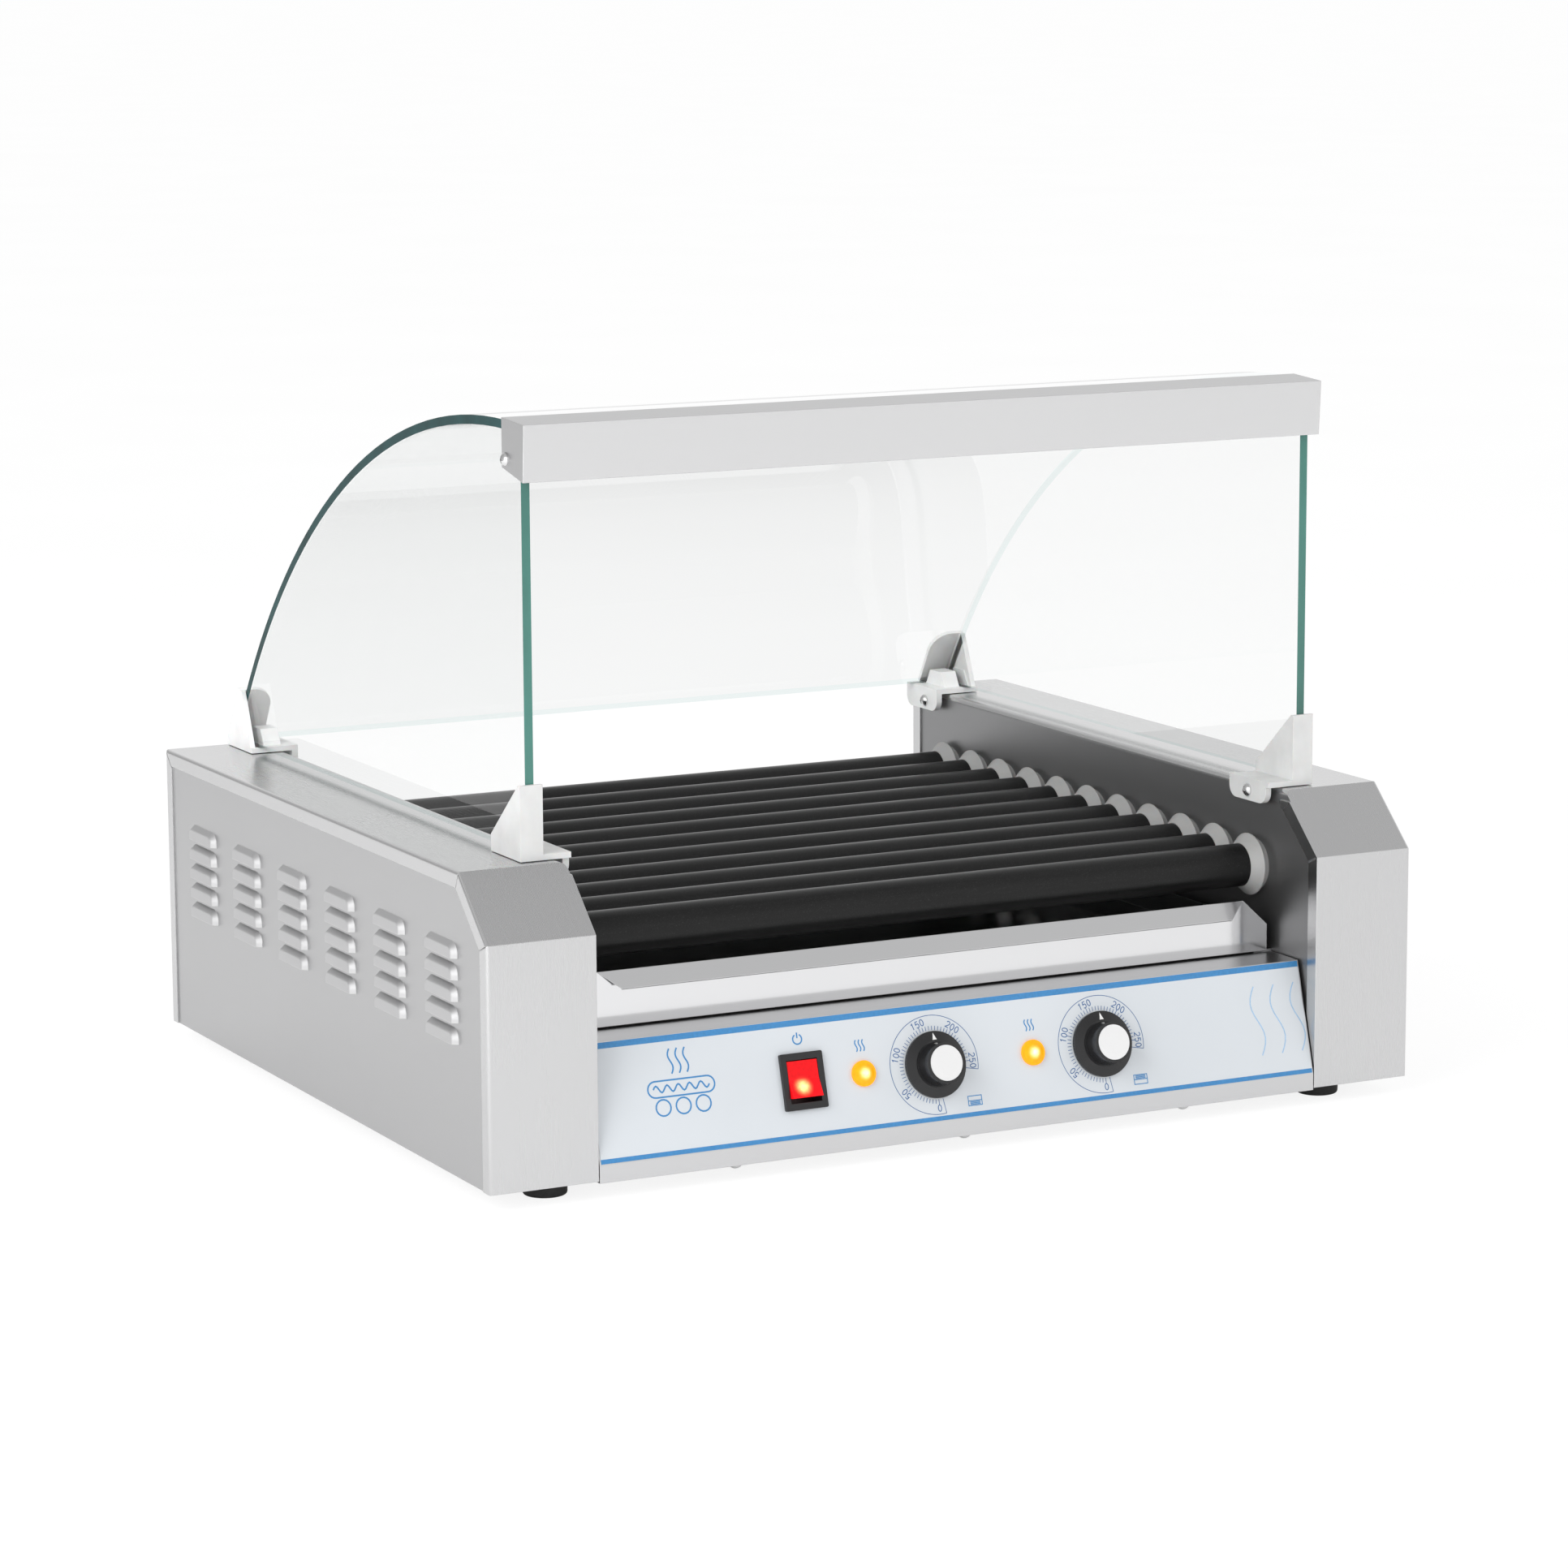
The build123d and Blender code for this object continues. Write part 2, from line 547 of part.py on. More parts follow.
def pitch_radius(teeth):
    """Pitch radius of a chain sprocket."""
    return CHAIN_PITCH / (2 * sin(radians(180 / teeth)))


def sprocket_outline(teeth, bore):
    """Toothed disc with a bore, drawn in the sketch that is open."""
    Circle(pitch_radius(teeth) + TOOTH_TIP)
    with PolarLocations(pitch_radius(teeth), teeth):
        Circle(CHAIN_ROLLER_RADIUS, mode=Mode.SUBTRACT)
    if bore:
        Circle(bore, mode=Mode.SUBTRACT)


def roller_tube(y):
    """Coated tube that turns in two bushings."""
    with BuildPart() as tube:
        with BuildSketch(Plane.YZ.offset(-ROLLER_HALF)):
            with Locations((y, ROLLER_Z)):
                Circle(ROLLER_RADIUS)
                Circle(ROLLER_RADIUS - ROLLER_WALL, mode=Mode.SUBTRACT)
        extrude(amount=2 * ROLLER_HALF)
        chamfer(edges().filter_by(GeomType.CIRCLE), length=0.3)
    return tube


def roller_sprocket(y):
    """Sprocket ring fixed on the right-hand end of a roller."""
    with BuildPart() as ring:
        with BuildSketch(Plane.YZ.offset(SPROCKET_X)):
            with Locations((y, ROLLER_Z)):
                sprocket_outline(ROLLER_TEETH, ROLLER_RADIUS + RUNNING / 2)
        extrude(amount=SPROCKET_THICK)
    return ring


roller_tubes = [roller_tube(y) for y in ROLLER_YS]
roller_sprockets = [roller_sprocket(y) for y in ROLLER_YS]

BUSH_FLANGE_RADIUS = 18.1
BUSH_STAND = 4.2         # hub length between the wall and the flange
BUSH_RIM = 0.6           # thickness of the flange's edge
BUSH_REACH = 10.7        # cone's nose from the wall
BUSH_NOSE = 0.5          # thickness of the nose round the roller
BUSH_TAIL = 3.0          # beyond the back of the wall
BUSH_BORE = ROLLER_RADIUS + RUNNING

with BuildPart() as one_bushing:
    # turned about Z, wall face at zero
    with BuildSketch(Plane.XZ):
        Polygon((BUSH_BORE, -SHEET - BUSH_TAIL), (BUSH_BODY_RADIUS, -SHEET - BUSH_TAIL),
                (BUSH_BODY_RADIUS, BUSH_STAND), (BUSH_FLANGE_RADIUS, BUSH_STAND),
                (BUSH_FLANGE_RADIUS, BUSH_STAND + BUSH_RIM), (BUSH_BORE + BUSH_NOSE, BUSH_REACH),
                (BUSH_BORE, BUSH_REACH), align=None)
    revolve(axis=Axis.Z)

with BuildPart() as roller_bushings:
    for side in (-1, 1):
        for y in ROLLER_YS:
            seat = Plane(origin=(side * WALL_X, y, ROLLER_Z), x_dir=(0, 1, 0), z_dir=(-side, 0, 0))
            add(one_bushing.part.moved(seat.location))

# ---- heating elements, one through each roller, and the strips that hold their ends ----
ELEMENT_RADIUS = 4.0
ELEMENT_HALF = WALL_X + 36.0
HOLDER_X = WALL_X + 24.5
HOLDER_HEIGHT = 24.0
HOLDER_TAB = 7.0
HOLDER_ENDS = (FIRST_ROLLER_Y - 23.0, LAST_ROLLER_Y + 23.0)

with BuildPart() as heating_elements:
    with BuildSketch(Plane.YZ.offset(-ELEMENT_HALF)):
        with Locations(*[(y, ROLLER_Z) for y in ROLLER_YS]):
            Circle(ELEMENT_RADIUS)
    extrude(amount=2 * ELEMENT_HALF)
    chamfer(edges().filter_by(GeomType.CIRCLE), length=1)

with BuildPart() as right_holder:
    with BuildSketch(Plane.XY.offset(ROLLER_Z - HOLDER_HEIGHT / 2)):
        folded_strip(
            [(WALL_X + SHEET, HOLDER_ENDS[0] + HOLDER_TAB), (WALL_X + SHEET, HOLDER_ENDS[0]),
             (HOLDER_X, HOLDER_ENDS[0]), (HOLDER_X, HOLDER_ENDS[1]),
             (WALL_X + SHEET, HOLDER_ENDS[1]), (WALL_X + SHEET, HOLDER_ENDS[1] - HOLDER_TAB)],
            SHEET, Side.LEFT)
    extrude(amount=HOLDER_HEIGHT)
    with BuildSketch(Plane.YZ.offset(HOLDER_X - 2 * SHEET)):
        with Locations(*[(y, ROLLER_Z) for y in ROLLER_YS]):
            Circle(ELEMENT_RADIUS + RUNNING)
    extrude(amount=4 * SHEET, mode=Mode.SUBTRACT)

with BuildPart() as element_holders:
    add(right_holder.part)
    mirror(objects=right_holder.part, about=Plane.YZ)

# ---- gear motor, its bracket, its sprocket and the chain ----
MOTOR_PLATE_X = WALL_X + 15.0
MOTOR_PLATE = (56.0, 78.0)
MOTOR_FOOT = 28.0        # fold of the bracket on the base plate
SHAFT_RADIUS = 4.0
HUB_RADIUS = 7.5
GEARBOX_RADIUS = 26.0
GEARBOX_DEPTH = 18.0
CAN_RADIUS = 18.0
CAN_DEPTH = 22.0
CAN_ROUND = 2.0
CHAIN_HALF_HEIGHT = 2.4
CHAIN_PLATE = 0.75
CHAIN_INNER = 1.6        # from the sprocket's middle plane to a plate
END_LINKS = 3            # links left without pins next to a sprocket

motor_centre = (MID_ROLLER_Y, MOTOR_Z)

with BuildPart() as motor_bracket:
    with BuildSketch(Plane.YZ.offset(MOTOR_PLATE_X)):
        with Locations((MID_ROLLER_Y, BASE_TOP + MOTOR_PLATE[1] / 2)):
            Rectangle(*MOTOR_PLATE)
        with Locations(motor_centre):
            Circle(1.5 * SHAFT_RADIUS, mode=Mode.SUBTRACT)
    extrude(amount=HEAVY_SHEET)
    with BuildSketch(Plane.XY.offset(BASE_TOP)):
        with Locations((MOTOR_PLATE_X + MOTOR_FOOT / 2, MID_ROLLER_Y)):
            Rectangle(MOTOR_FOOT, MOTOR_PLATE[0])
    extrude(amount=HEAVY_SHEET)

with BuildPart() as gear_motor:
    with BuildSketch(Plane.YZ.offset(MOTOR_PLATE_X + HEAVY_SHEET)):
        with Locations(motor_centre):
            Circle(GEARBOX_RADIUS)
    extrude(amount=GEARBOX_DEPTH)
    with BuildSketch(Plane.YZ.offset(MOTOR_PLATE_X + HEAVY_SHEET + GEARBOX_DEPTH)):
        with Locations(motor_centre):
            Circle(CAN_RADIUS)
    extrude(amount=CAN_DEPTH)
    fillet(faces().sort_by(Axis.X)[-1].edges(), radius=CAN_ROUND)
    with BuildSketch(Plane.YZ.offset(MOTOR_PLATE_X + HEAVY_SHEET)):
        with Locations(motor_centre):
            Circle(SHAFT_RADIUS + RUNNING)
    extrude(amount=GEARBOX_DEPTH / 2, mode=Mode.SUBTRACT)

with BuildPart() as motor_sprocket:
    with BuildSketch(Plane.YZ.offset(SPROCKET_X)):
        with Locations(motor_centre):
            sprocket_outline(MOTOR_TEETH, 0)
    extrude(amount=SPROCKET_THICK)
    with BuildSketch(Plane.YZ.offset(SPROCKET_X - SPROCKET_THICK)):
        with Locations(motor_centre):
            Circle(HUB_RADIUS)
    extrude(amount=SPROCKET_THICK)
    with BuildSketch(Plane.YZ.offset(SPROCKET_X)):
        with Locations(motor_centre):
            Circle(SHAFT_RADIUS)
    extrude(amount=MOTOR_PLATE_X + HEAVY_SHEET + GEARBOX_DEPTH / 2 - GAP - SPROCKET_X)


def chain_loop(grow):
    """Area inside the chain's path round the end rollers and the motor, grown by a distance."""
    with BuildSketch() as loop:
        with Locations((FIRST_ROLLER_Y, ROLLER_Z), (LAST_ROLLER_Y, ROLLER_Z)):
            Circle(pitch_radius(ROLLER_TEETH) + grow)
        with Locations(motor_centre):
            Circle(pitch_radius(MOTOR_TEETH) + grow)
        make_hull()
    return loop.sketch


def lower_run_pins(roller_y):
    """Pin places (y, z) along the straight run from an end roller down to the motor."""
    big = pitch_radius(ROLLER_TEETH)
    small = pitch_radius(MOTOR_TEETH)
    across = MID_ROLLER_Y - roller_y
    down = MOTOR_Z - ROLLER_Z
    # the run touches both pitch circles where their radii lie along one outward direction
    outward = acos((big - small) / hypot(across, down))
    if across > 0:
        outward = -outward
    outward += atan2(down, across)
    start = (roller_y + big * cos(outward), ROLLER_Z + big * sin(outward))
    end = (MID_ROLLER_Y + small * cos(outward), MOTOR_Z + small * sin(outward))
    count = int(hypot(end[0] - start[0], end[1] - start[1]) / CHAIN_PITCH)
    return [
        (start[0] + (end[0] - start[0]) * i / count, start[1] + (end[1] - start[1]) * i / count)
        for i in range(END_LINKS, count - END_LINKS)
    ]


with BuildPart() as drive_chain:
    for sign in (-1, 1):
        plate_x = SPROCKET_X + SPROCKET_THICK / 2 + sign * CHAIN_INNER
        with BuildSketch(Plane.YZ.offset(plate_x)):
            add(chain_loop(CHAIN_HALF_HEIGHT))
            add(chain_loop(-CHAIN_HALF_HEIGHT), mode=Mode.SUBTRACT)
        extrude(amount=sign * CHAIN_PLATE)
    # cross pins, shown only on the runs that are clear of the sprockets
    with BuildSketch(Plane.YZ.offset(SPROCKET_X + SPROCKET_THICK / 2 - CHAIN_INNER)):
        with Locations(*lower_run_pins(FIRST_ROLLER_Y), *lower_run_pins(LAST_ROLLER_Y)):
            Circle(CHAIN_ROLLER_RADIUS)
    extrude(amount=2 * CHAIN_INNER)

# ---- drip tray on two rails ----
RAIL_TOP = LEDGE_Z + 0.8
RAIL_WIDTH = 12.0
RAIL_DROP = 14.0
RAIL_REACH = 15.0        # rails run on behind the tray
TRAY_BOTTOM = RAIL_TOP + GAP
TRAY_HALF = 222.0
TRAY_FRONT_Y = -195.0
TRAY_REAR_Y = 208.0
TRAY_SIDE_HEIGHT = 15.5
TRAY_FOLD_Z = 113.6      # fold along the top of the front wall
TRAY_FOLD_HALF = 205.6
LIP_RUN = 7.2
LIP_DROP = 9.0
LIP_FREE_HALF = 194.0
TRAY_CORNER = 2.0        # upright corners at the back

with BuildPart() as tray_rails:
    with BuildSketch(Plane.XZ.offset(-TRAY_REAR_Y - RAIL_REACH)):
        folded_strip(
            [(WALL_X, RAIL_TOP - RAIL_DROP), (WALL_X, RAIL_TOP), (WALL_X - RAIL_WIDTH, RAIL_TOP)],
            SHEET, Side.LEFT)
    extrude(amount=TRAY_REAR_Y + RAIL_REACH - LEDGE_REAR_Y - GAP)
    mirror(about=Plane.YZ)

with BuildPart() as drip_tray:
    tray_depth = TRAY_REAR_Y - TRAY_FRONT_Y
    with BuildSketch(Plane.XY.offset(TRAY_BOTTOM)):
        with Locations((0, TRAY_FRONT_Y + tray_depth / 2)):
            Rectangle(2 * TRAY_HALF, tray_depth)
    extrude(amount=TRAY_SIDE_HEIGHT)
    fillet(edges().filter_by(Axis.Z).sort_by(Axis.Y)[2:], radius=TRAY_CORNER)
    offset(amount=-SHEET, openings=faces().sort_by(Axis.Z)[-1])
    # taller front wall with its corners cut off
    with BuildSketch(Plane.XZ.offset(-TRAY_FRONT_Y)):
        side_top = TRAY_BOTTOM + TRAY_SIDE_HEIGHT
        Polygon((-TRAY_HALF, TRAY_BOTTOM), (TRAY_HALF, TRAY_BOTTOM), (TRAY_HALF, side_top),
                (TRAY_FOLD_HALF, TRAY_FOLD_Z), (-TRAY_FOLD_HALF, TRAY_FOLD_Z), (-TRAY_HALF, side_top),
                align=None)
    extrude(amount=-SHEET)
    # finger lip folded forwards and down, narrower towards its free edge
    with BuildSketch(Plane.YZ.offset(-TRAY_FOLD_HALF)):
        folded_strip(
            [(TRAY_FRONT_Y + SHEET, TRAY_FOLD_Z), (TRAY_FRONT_Y, TRAY_FOLD_Z),
             (TRAY_FRONT_Y - LIP_RUN, TRAY_FOLD_Z - LIP_DROP)],
            SHEET, Side.LEFT)
    extrude(amount=2 * TRAY_FOLD_HALF)
    cut_half = TRAY_FOLD_HALF + 3
    cut_low = TRAY_FOLD_Z - LIP_DROP - 3
    with BuildSketch(Plane.XZ.offset(-TRAY_FRONT_Y)):
        for side in (-1, 1):
            Polygon((side * TRAY_FOLD_HALF, TRAY_FOLD_Z), (side * cut_half, TRAY_FOLD_Z),
                    (side * cut_half, cut_low), (side * (LIP_FREE_HALF - 1), cut_low),
                    (side * LIP_FREE_HALF, TRAY_FOLD_Z - LIP_DROP), align=None)
    extrude(amount=LIP_RUN + 2 * SHEET, mode=Mode.SUBTRACT)

# ---- glass guard ----
GLASS = 5.0
ARCH_RADIUS = 462.2      # outer face of the curved glass
ARCH_Y = -166.2
ARCH_Z = CASE_TOP - 227.0
GUARD_HALF = 247.0       # half length of the curved glass
PANE_X = 241.0           # inner face of a side pane
PLATE_Z = CASE_TOP + 0.4
PLATE_TOP = PLATE_Z + 3.2
PANE_BOTTOM = PLATE_TOP + 0.4
PANE_FRONT_Y = -194.2
CURVED_FRONT_Y = -180.0
CURVED_BOTTOM = PLATE_TOP + 0.2


def arch_height(y, radius):
    """Height of a circle about the arch's centre line at a given depth."""
    return ARCH_Z + sqrt(radius**2 - (y - ARCH_Y) ** 2)


def arch_depth(z, radius):
    """Depth of the rear half of a circle about the arch's centre line at a given height."""
    return ARCH_Y + sqrt(radius**2 - (z - ARCH_Z) ** 2)


def arch_middle(y_one, y_two, radius):
    """A point of the arch between two depths."""
    y = (y_one + y_two) / 2
    return (y, arch_height(y, radius))


inner_radius = ARCH_RADIUS - GLASS
pane_radius = inner_radius - GAP
outer_bottom_y = arch_depth(CURVED_BOTTOM, ARCH_RADIUS)
BOTTOM_SLOPE = atan2(outer_bottom_y - ARCH_Y, CURVED_BOTTOM - ARCH_Z)   # glass at its lower edge
# the lower edge is cut square to the sheet
inner_bottom_y = outer_bottom_y - GLASS * sin(BOTTOM_SLOPE)
inner_bottom_z = CURVED_BOTTOM - GLASS * cos(BOTTOM_SLOPE)
LIFT = CURVED_BOTTOM - inner_bottom_z

with BuildPart() as curved_glass:
    outer_low = (arch_depth(CURVED_BOTTOM + LIFT, ARCH_RADIUS), CURVED_BOTTOM + LIFT)
    inner_low = (arch_depth(CURVED_BOTTOM, inner_radius), CURVED_BOTTOM)
    outer_front = (CURVED_FRONT_Y, arch_height(CURVED_FRONT_Y, ARCH_RADIUS))
    inner_front = (CURVED_FRONT_Y, arch_height(CURVED_FRONT_Y, inner_radius))
    with BuildSketch(Plane.YZ.offset(-GUARD_HALF)):
        with BuildLine():
            ThreePointArc(outer_front, arch_middle(outer_front[0], outer_low[0], ARCH_RADIUS), outer_low)
            Line(outer_low, inner_low)
            ThreePointArc(inner_low, arch_middle(inner_front[0], inner_low[0], inner_radius), inner_front)
            Line(inner_front, outer_front)
        make_face()
    extrude(amount=2 * GUARD_HALF)

with BuildPart() as right_glass_pane:
    pane_rear = (arch_depth(PANE_BOTTOM, pane_radius), PANE_BOTTOM)
    pane_top = (PANE_FRONT_Y, arch_height(PANE_FRONT_Y, pane_radius))
    with BuildSketch(Plane.YZ.offset(PANE_X)):
        with BuildLine():
            Polyline(pane_rear, (PANE_FRONT_Y, PANE_BOTTOM), pane_top)
            ThreePointArc(pane_top, arch_middle(pane_top[0], pane_rear[0], pane_radius), pane_rear)
        make_face()
    extrude(amount=GLASS)

left_glass_pane = mirror_to_left(right_glass_pane)

# ---- folded front bar of the guard, with an end plate and a clamp screw at each end ----
BAR_SHEET = 1.0
BAR_HALF = 248.4
BAR_REAR_TOP = (-175.5, CASE_TOP + 236.4)
BAR_FRONT_TOP = (-204.0, CASE_TOP + 234.6)
BAR_FRONT_BOTTOM = (-202.2, CASE_TOP + 203.9)
BAR_REAR_BOTTOM = (-175.5, CASE_TOP + 209.8)
BAR_HEM = (6.0, 1.2)     # lower edge turned back, (y, z)
BAR_SCREW = (-180.5, CASE_TOP + 214.4)

with BuildPart() as front_bar:
    with BuildSketch(Plane.YZ.offset(-BAR_HALF)):
        folded_strip(
            [BAR_REAR_TOP, BAR_FRONT_TOP, BAR_FRONT_BOTTOM,
             (BAR_FRONT_BOTTOM[0] + BAR_HEM[0], BAR_FRONT_BOTTOM[1] + BAR_HEM[1])],
            BAR_SHEET, Side.RIGHT)
    extrude(amount=2 * BAR_HALF)
    for side in (-1, 1):
        with BuildSketch(Plane.YZ.offset(side * BAR_HALF)):
            Polygon(BAR_REAR_TOP, BAR_FRONT_TOP, BAR_FRONT_BOTTOM, BAR_REAR_BOTTOM, align=None)
            with Locations(BAR_SCREW):
                Circle(SCREW_HOLE_RADIUS, mode=Mode.SUBTRACT)
        extrude(amount=-side * BAR_SHEET)

BAR_SCREW_LENGTH = BAR_HALF - (PANE_X + GLASS) - GAP

with BuildPart() as bar_screws:
    for side in (-1, 1):
        seat = Plane(origin=(side * BAR_HALF, *BAR_SCREW), x_dir=(0, 1, 0), z_dir=(-side, 0, 0))
        add(pan_screw(BAR_SCREW_LENGTH).moved(seat.location))

# ---- moulded brackets that hold the glass on the casings ----
BRACKET_IN_X = FLANGE_X - 5.8
BRACKET_OUT_X = 250.4
TAB = 3.8                # thickness
TAB_ROUND = 7.0
FRONT_PLATE = (-197.0, -158.0)
FRONT_TAB = (-194.0, -155.0)
FRONT_TAB_LOW = CASE_TOP - 9.8
TOWER_IN_X = 237.0
TOWER_TOP = CASE_TOP + 41.6
TOWER_WALL = 2.4
SLOT_CLEAR = 0.6
GUSSET_LOW = 6.0         # height of a gusset's rear edge above the plate

REAR_PLATE = (198.0, 238.0)
REAR_TAB_LOW = CASE_TOP - 11.0
FIN_TOP_Z = CASE_TOP + 36.5
BLOCK_HEIGHT = 9.4
BLOCK_FRONT = 5.5        # block's front foot from the plate's front edge
BLOCK_INSET = 1.0
EAR_IN_X = 228.4
EAR_ROUND = 13.0
EAR_WALL = 2.5
FIN_FRONT = 2.0          # fin's front edge from the plate's, and from the glass at its top


def tab_and_plate(plate, tab, tab_low, screw):
    """Base plate on the casing top and the rounded tab that hangs over its inner wall."""
    with BuildPart() as base:
        with BuildSketch(Plane.XY.offset(PLATE_Z)):
            with Locations(((BRACKET_IN_X + BRACKET_OUT_X) / 2, sum(plate) / 2)):
                Rectangle(BRACKET_OUT_X - BRACKET_IN_X, plate[1] - plate[0])
        extrude(amount=PLATE_TOP - PLATE_Z)
        with BuildSketch(Plane.YZ.offset(BRACKET_IN_X)):
            with Locations((sum(tab) / 2, (PLATE_TOP + tab_low) / 2)):
                Rectangle(tab[1] - tab[0], PLATE_TOP - tab_low)
            fillet(vertices().group_by(Axis.Y)[0], radius=TAB_ROUND)
            with Locations(screw):
                Circle(SCREW_HOLE_RADIUS, mode=Mode.SUBTRACT)
        extrude(amount=TAB)
    return base.part


with BuildPart() as front_right_bracket:
    add(tab_and_plate(FRONT_PLATE, FRONT_TAB, FRONT_TAB_LOW, TAB_SCREWS[0]))
    front_y, gusset_y = FRONT_PLATE
    with BuildSketch(Plane.XY.offset(PLATE_TOP)):
        with Locations(((TOWER_IN_X + BRACKET_OUT_X) / 2, front_y + TOWER_WALL / 2)):
            Rectangle(BRACKET_OUT_X - TOWER_IN_X, TOWER_WALL)
    extrude(amount=TOWER_TOP - PLATE_TOP)
    gusset_ends = (
        (TOWER_IN_X, PANE_X - SLOT_CLEAR),
        (PANE_X + GLASS + SLOT_CLEAR, BRACKET_OUT_X),
    )
    for low_x, high_x in gusset_ends:
        with BuildSketch(Plane.YZ.offset(low_x)):
            Polygon((front_y, PLATE_TOP), (front_y, TOWER_TOP), (front_y + TOWER_WALL, TOWER_TOP),
                    (gusset_y, PLATE_TOP + GUSSET_LOW), (gusset_y, PLATE_TOP), align=None)
        extrude(amount=high_x - low_x)

with BuildPart() as rear_right_bracket:
    add(tab_and_plate(REAR_PLATE, REAR_PLATE, REAR_TAB_LOW, TAB_SCREWS[1]))
    slope_y = -cos(BOTTOM_SLOPE)
    slope_z = sin(BOTTOM_SLOPE)
    ear_low_y = arch_depth(PLATE_TOP, ARCH_RADIUS) + 2 * GAP
    ear_run = (FIN_TOP_Z - PLATE_TOP) / slope_z
    ear_top_y = ear_low_y + ear_run * slope_y
    ear_shift = EAR_WALL / slope_z
    # fin outside the curved glass
    with BuildSketch(Plane.YZ.offset(GUARD_HALF + GAP)):
        Polygon((REAR_PLATE[0] + FIN_FRONT, PLATE_TOP), (ear_low_y + ear_shift, PLATE_TOP),
                (ear_top_y + ear_shift, FIN_TOP_Z), (ear_top_y - FIN_FRONT, FIN_TOP_Z), align=None)
    extrude(amount=BRACKET_OUT_X - GUARD_HALF - GAP)
    # leaning wall behind the glass, its inner top corner rounded
    ear_plane = Plane(
        origin=(EAR_IN_X, ear_low_y, PLATE_TOP), x_dir=(1, 0, 0), z_dir=(0, slope_z, -slope_y)
    )
    with BuildSketch(ear_plane):
        with Locations(((BRACKET_OUT_X - EAR_IN_X) / 2, -ear_run / 2)):
            Rectangle(BRACKET_OUT_X - EAR_IN_X, ear_run)
    extrude(amount=EAR_WALL)
    ear_corner = edges().filter_by(Axis((0, 0, 0), (0, slope_z, -slope_y))).group_by(Axis.Z)[-1]
    fillet(ear_corner.sort_by(Axis.X)[0], radius=EAR_ROUND)
    # blocks in front of the curved glass, either side of the flat pane
    block_low_y = arch_depth(PLATE_TOP, inner_radius) - 2 * GAP
    block_top_y = block_low_y + slope_y * BLOCK_HEIGHT / slope_z
    block_ends = (
        (EAR_IN_X + BLOCK_INSET, PANE_X - SLOT_CLEAR),
        (PANE_X + GLASS + SLOT_CLEAR, BRACKET_OUT_X),
    )
    for low_x, high_x in block_ends:
        with BuildSketch(Plane.YZ.offset(low_x)):
            Polygon((REAR_PLATE[0] + BLOCK_FRONT, PLATE_TOP), (block_low_y, PLATE_TOP),
                    (block_top_y, PLATE_TOP + BLOCK_HEIGHT),
                    (REAR_PLATE[0] + 2 * BLOCK_FRONT, PLATE_TOP + BLOCK_HEIGHT), align=None)
        extrude(amount=high_x - low_x)

with BuildPart() as front_brackets:
    add(front_right_bracket.part)
    mirror(objects=front_right_bracket.part, about=Plane.YZ)

with BuildPart() as rear_brackets:
    add(rear_right_bracket.part)
    mirror(objects=rear_right_bracket.part, about=Plane.YZ)

with BuildPart() as bracket_screws:
    for side in (-1, 1):
        for place in TAB_SCREWS:
            seat = Plane(origin=(side * BRACKET_IN_X, *place), x_dir=(0, 1, 0), z_dir=(side, 0, 0))
            add(pan_screw(SCREW_LENGTH).moved(seat.location))

# ---- terminal block and power cord in the left compartment ----
TERMINAL_PLACE = (CORD_X, 150.0)
TERMINAL_SIZE = (24.0, 62.0, 18.0)
TERMINAL_WELL = (2.5, 8.0)              # radius and depth
GLAND_FLANGE = 1.5
GLAND_LENGTH = 5.0
CORD_BEND = 6.0
CORD_DROP_Y = REAR_Y + CORD_RADIUS + 2.4
CORD_TAIL_Z = FOOT_HEIGHT + 6.0

with BuildPart() as terminal_block:
    with Locations((*TERMINAL_PLACE, BASE_TOP)):
        Box(*TERMINAL_SIZE, align=(Align.CENTER, Align.CENTER, Align.MIN))
        with GridLocations(TERMINAL_SIZE[0] / 2, TERMINAL_SIZE[1] / 6, 2, 5):
            with Locations((0, 0, TERMINAL_SIZE[2])):
                Cylinder(*TERMINAL_WELL, align=(Align.CENTER, Align.CENTER, Align.MAX), mode=Mode.SUBTRACT)

with BuildPart() as power_cord:
    with BuildLine() as cord_path:
        start = (CORD_X, TERMINAL_PLACE[1] + TERMINAL_SIZE[1] / 2 + 2, CORD_Z)
        bend_start = (CORD_X, CORD_DROP_Y - CORD_BEND, CORD_Z)
        Line(start, bend_start)
        bend_end = (CORD_X, CORD_DROP_Y, CORD_Z - CORD_BEND)
        middle = (CORD_X, CORD_DROP_Y - CORD_BEND * (1 - sin(radians(45))),
                  CORD_Z - CORD_BEND * (1 - cos(radians(45))))
        ThreePointArc(bend_start, middle, bend_end)
        Line(bend_end, (CORD_X, CORD_DROP_Y, CORD_TAIL_Z))
    with BuildSketch(Plane(origin=start, z_dir=(0, 1, 0))):
        Circle(CORD_RADIUS)
    sweep()
    # strain relief gripping the casing's rear sheet
    with BuildSketch(Plane.XZ.offset(-REAR_Y + GLAND_LENGTH - SHEET)):
        with Locations((CORD_X, CORD_Z)):
            Circle(GLAND_RADIUS - RUNNING)
    extrude(amount=-GLAND_LENGTH)
    with BuildSketch(Plane.XZ.offset(-REAR_Y + SHEET)):
        with Locations((CORD_X, CORD_Z)):
            Circle(GLAND_RADIUS + GLAND_FLANGE)
    extrude(amount=2 * GLAND_FLANGE)

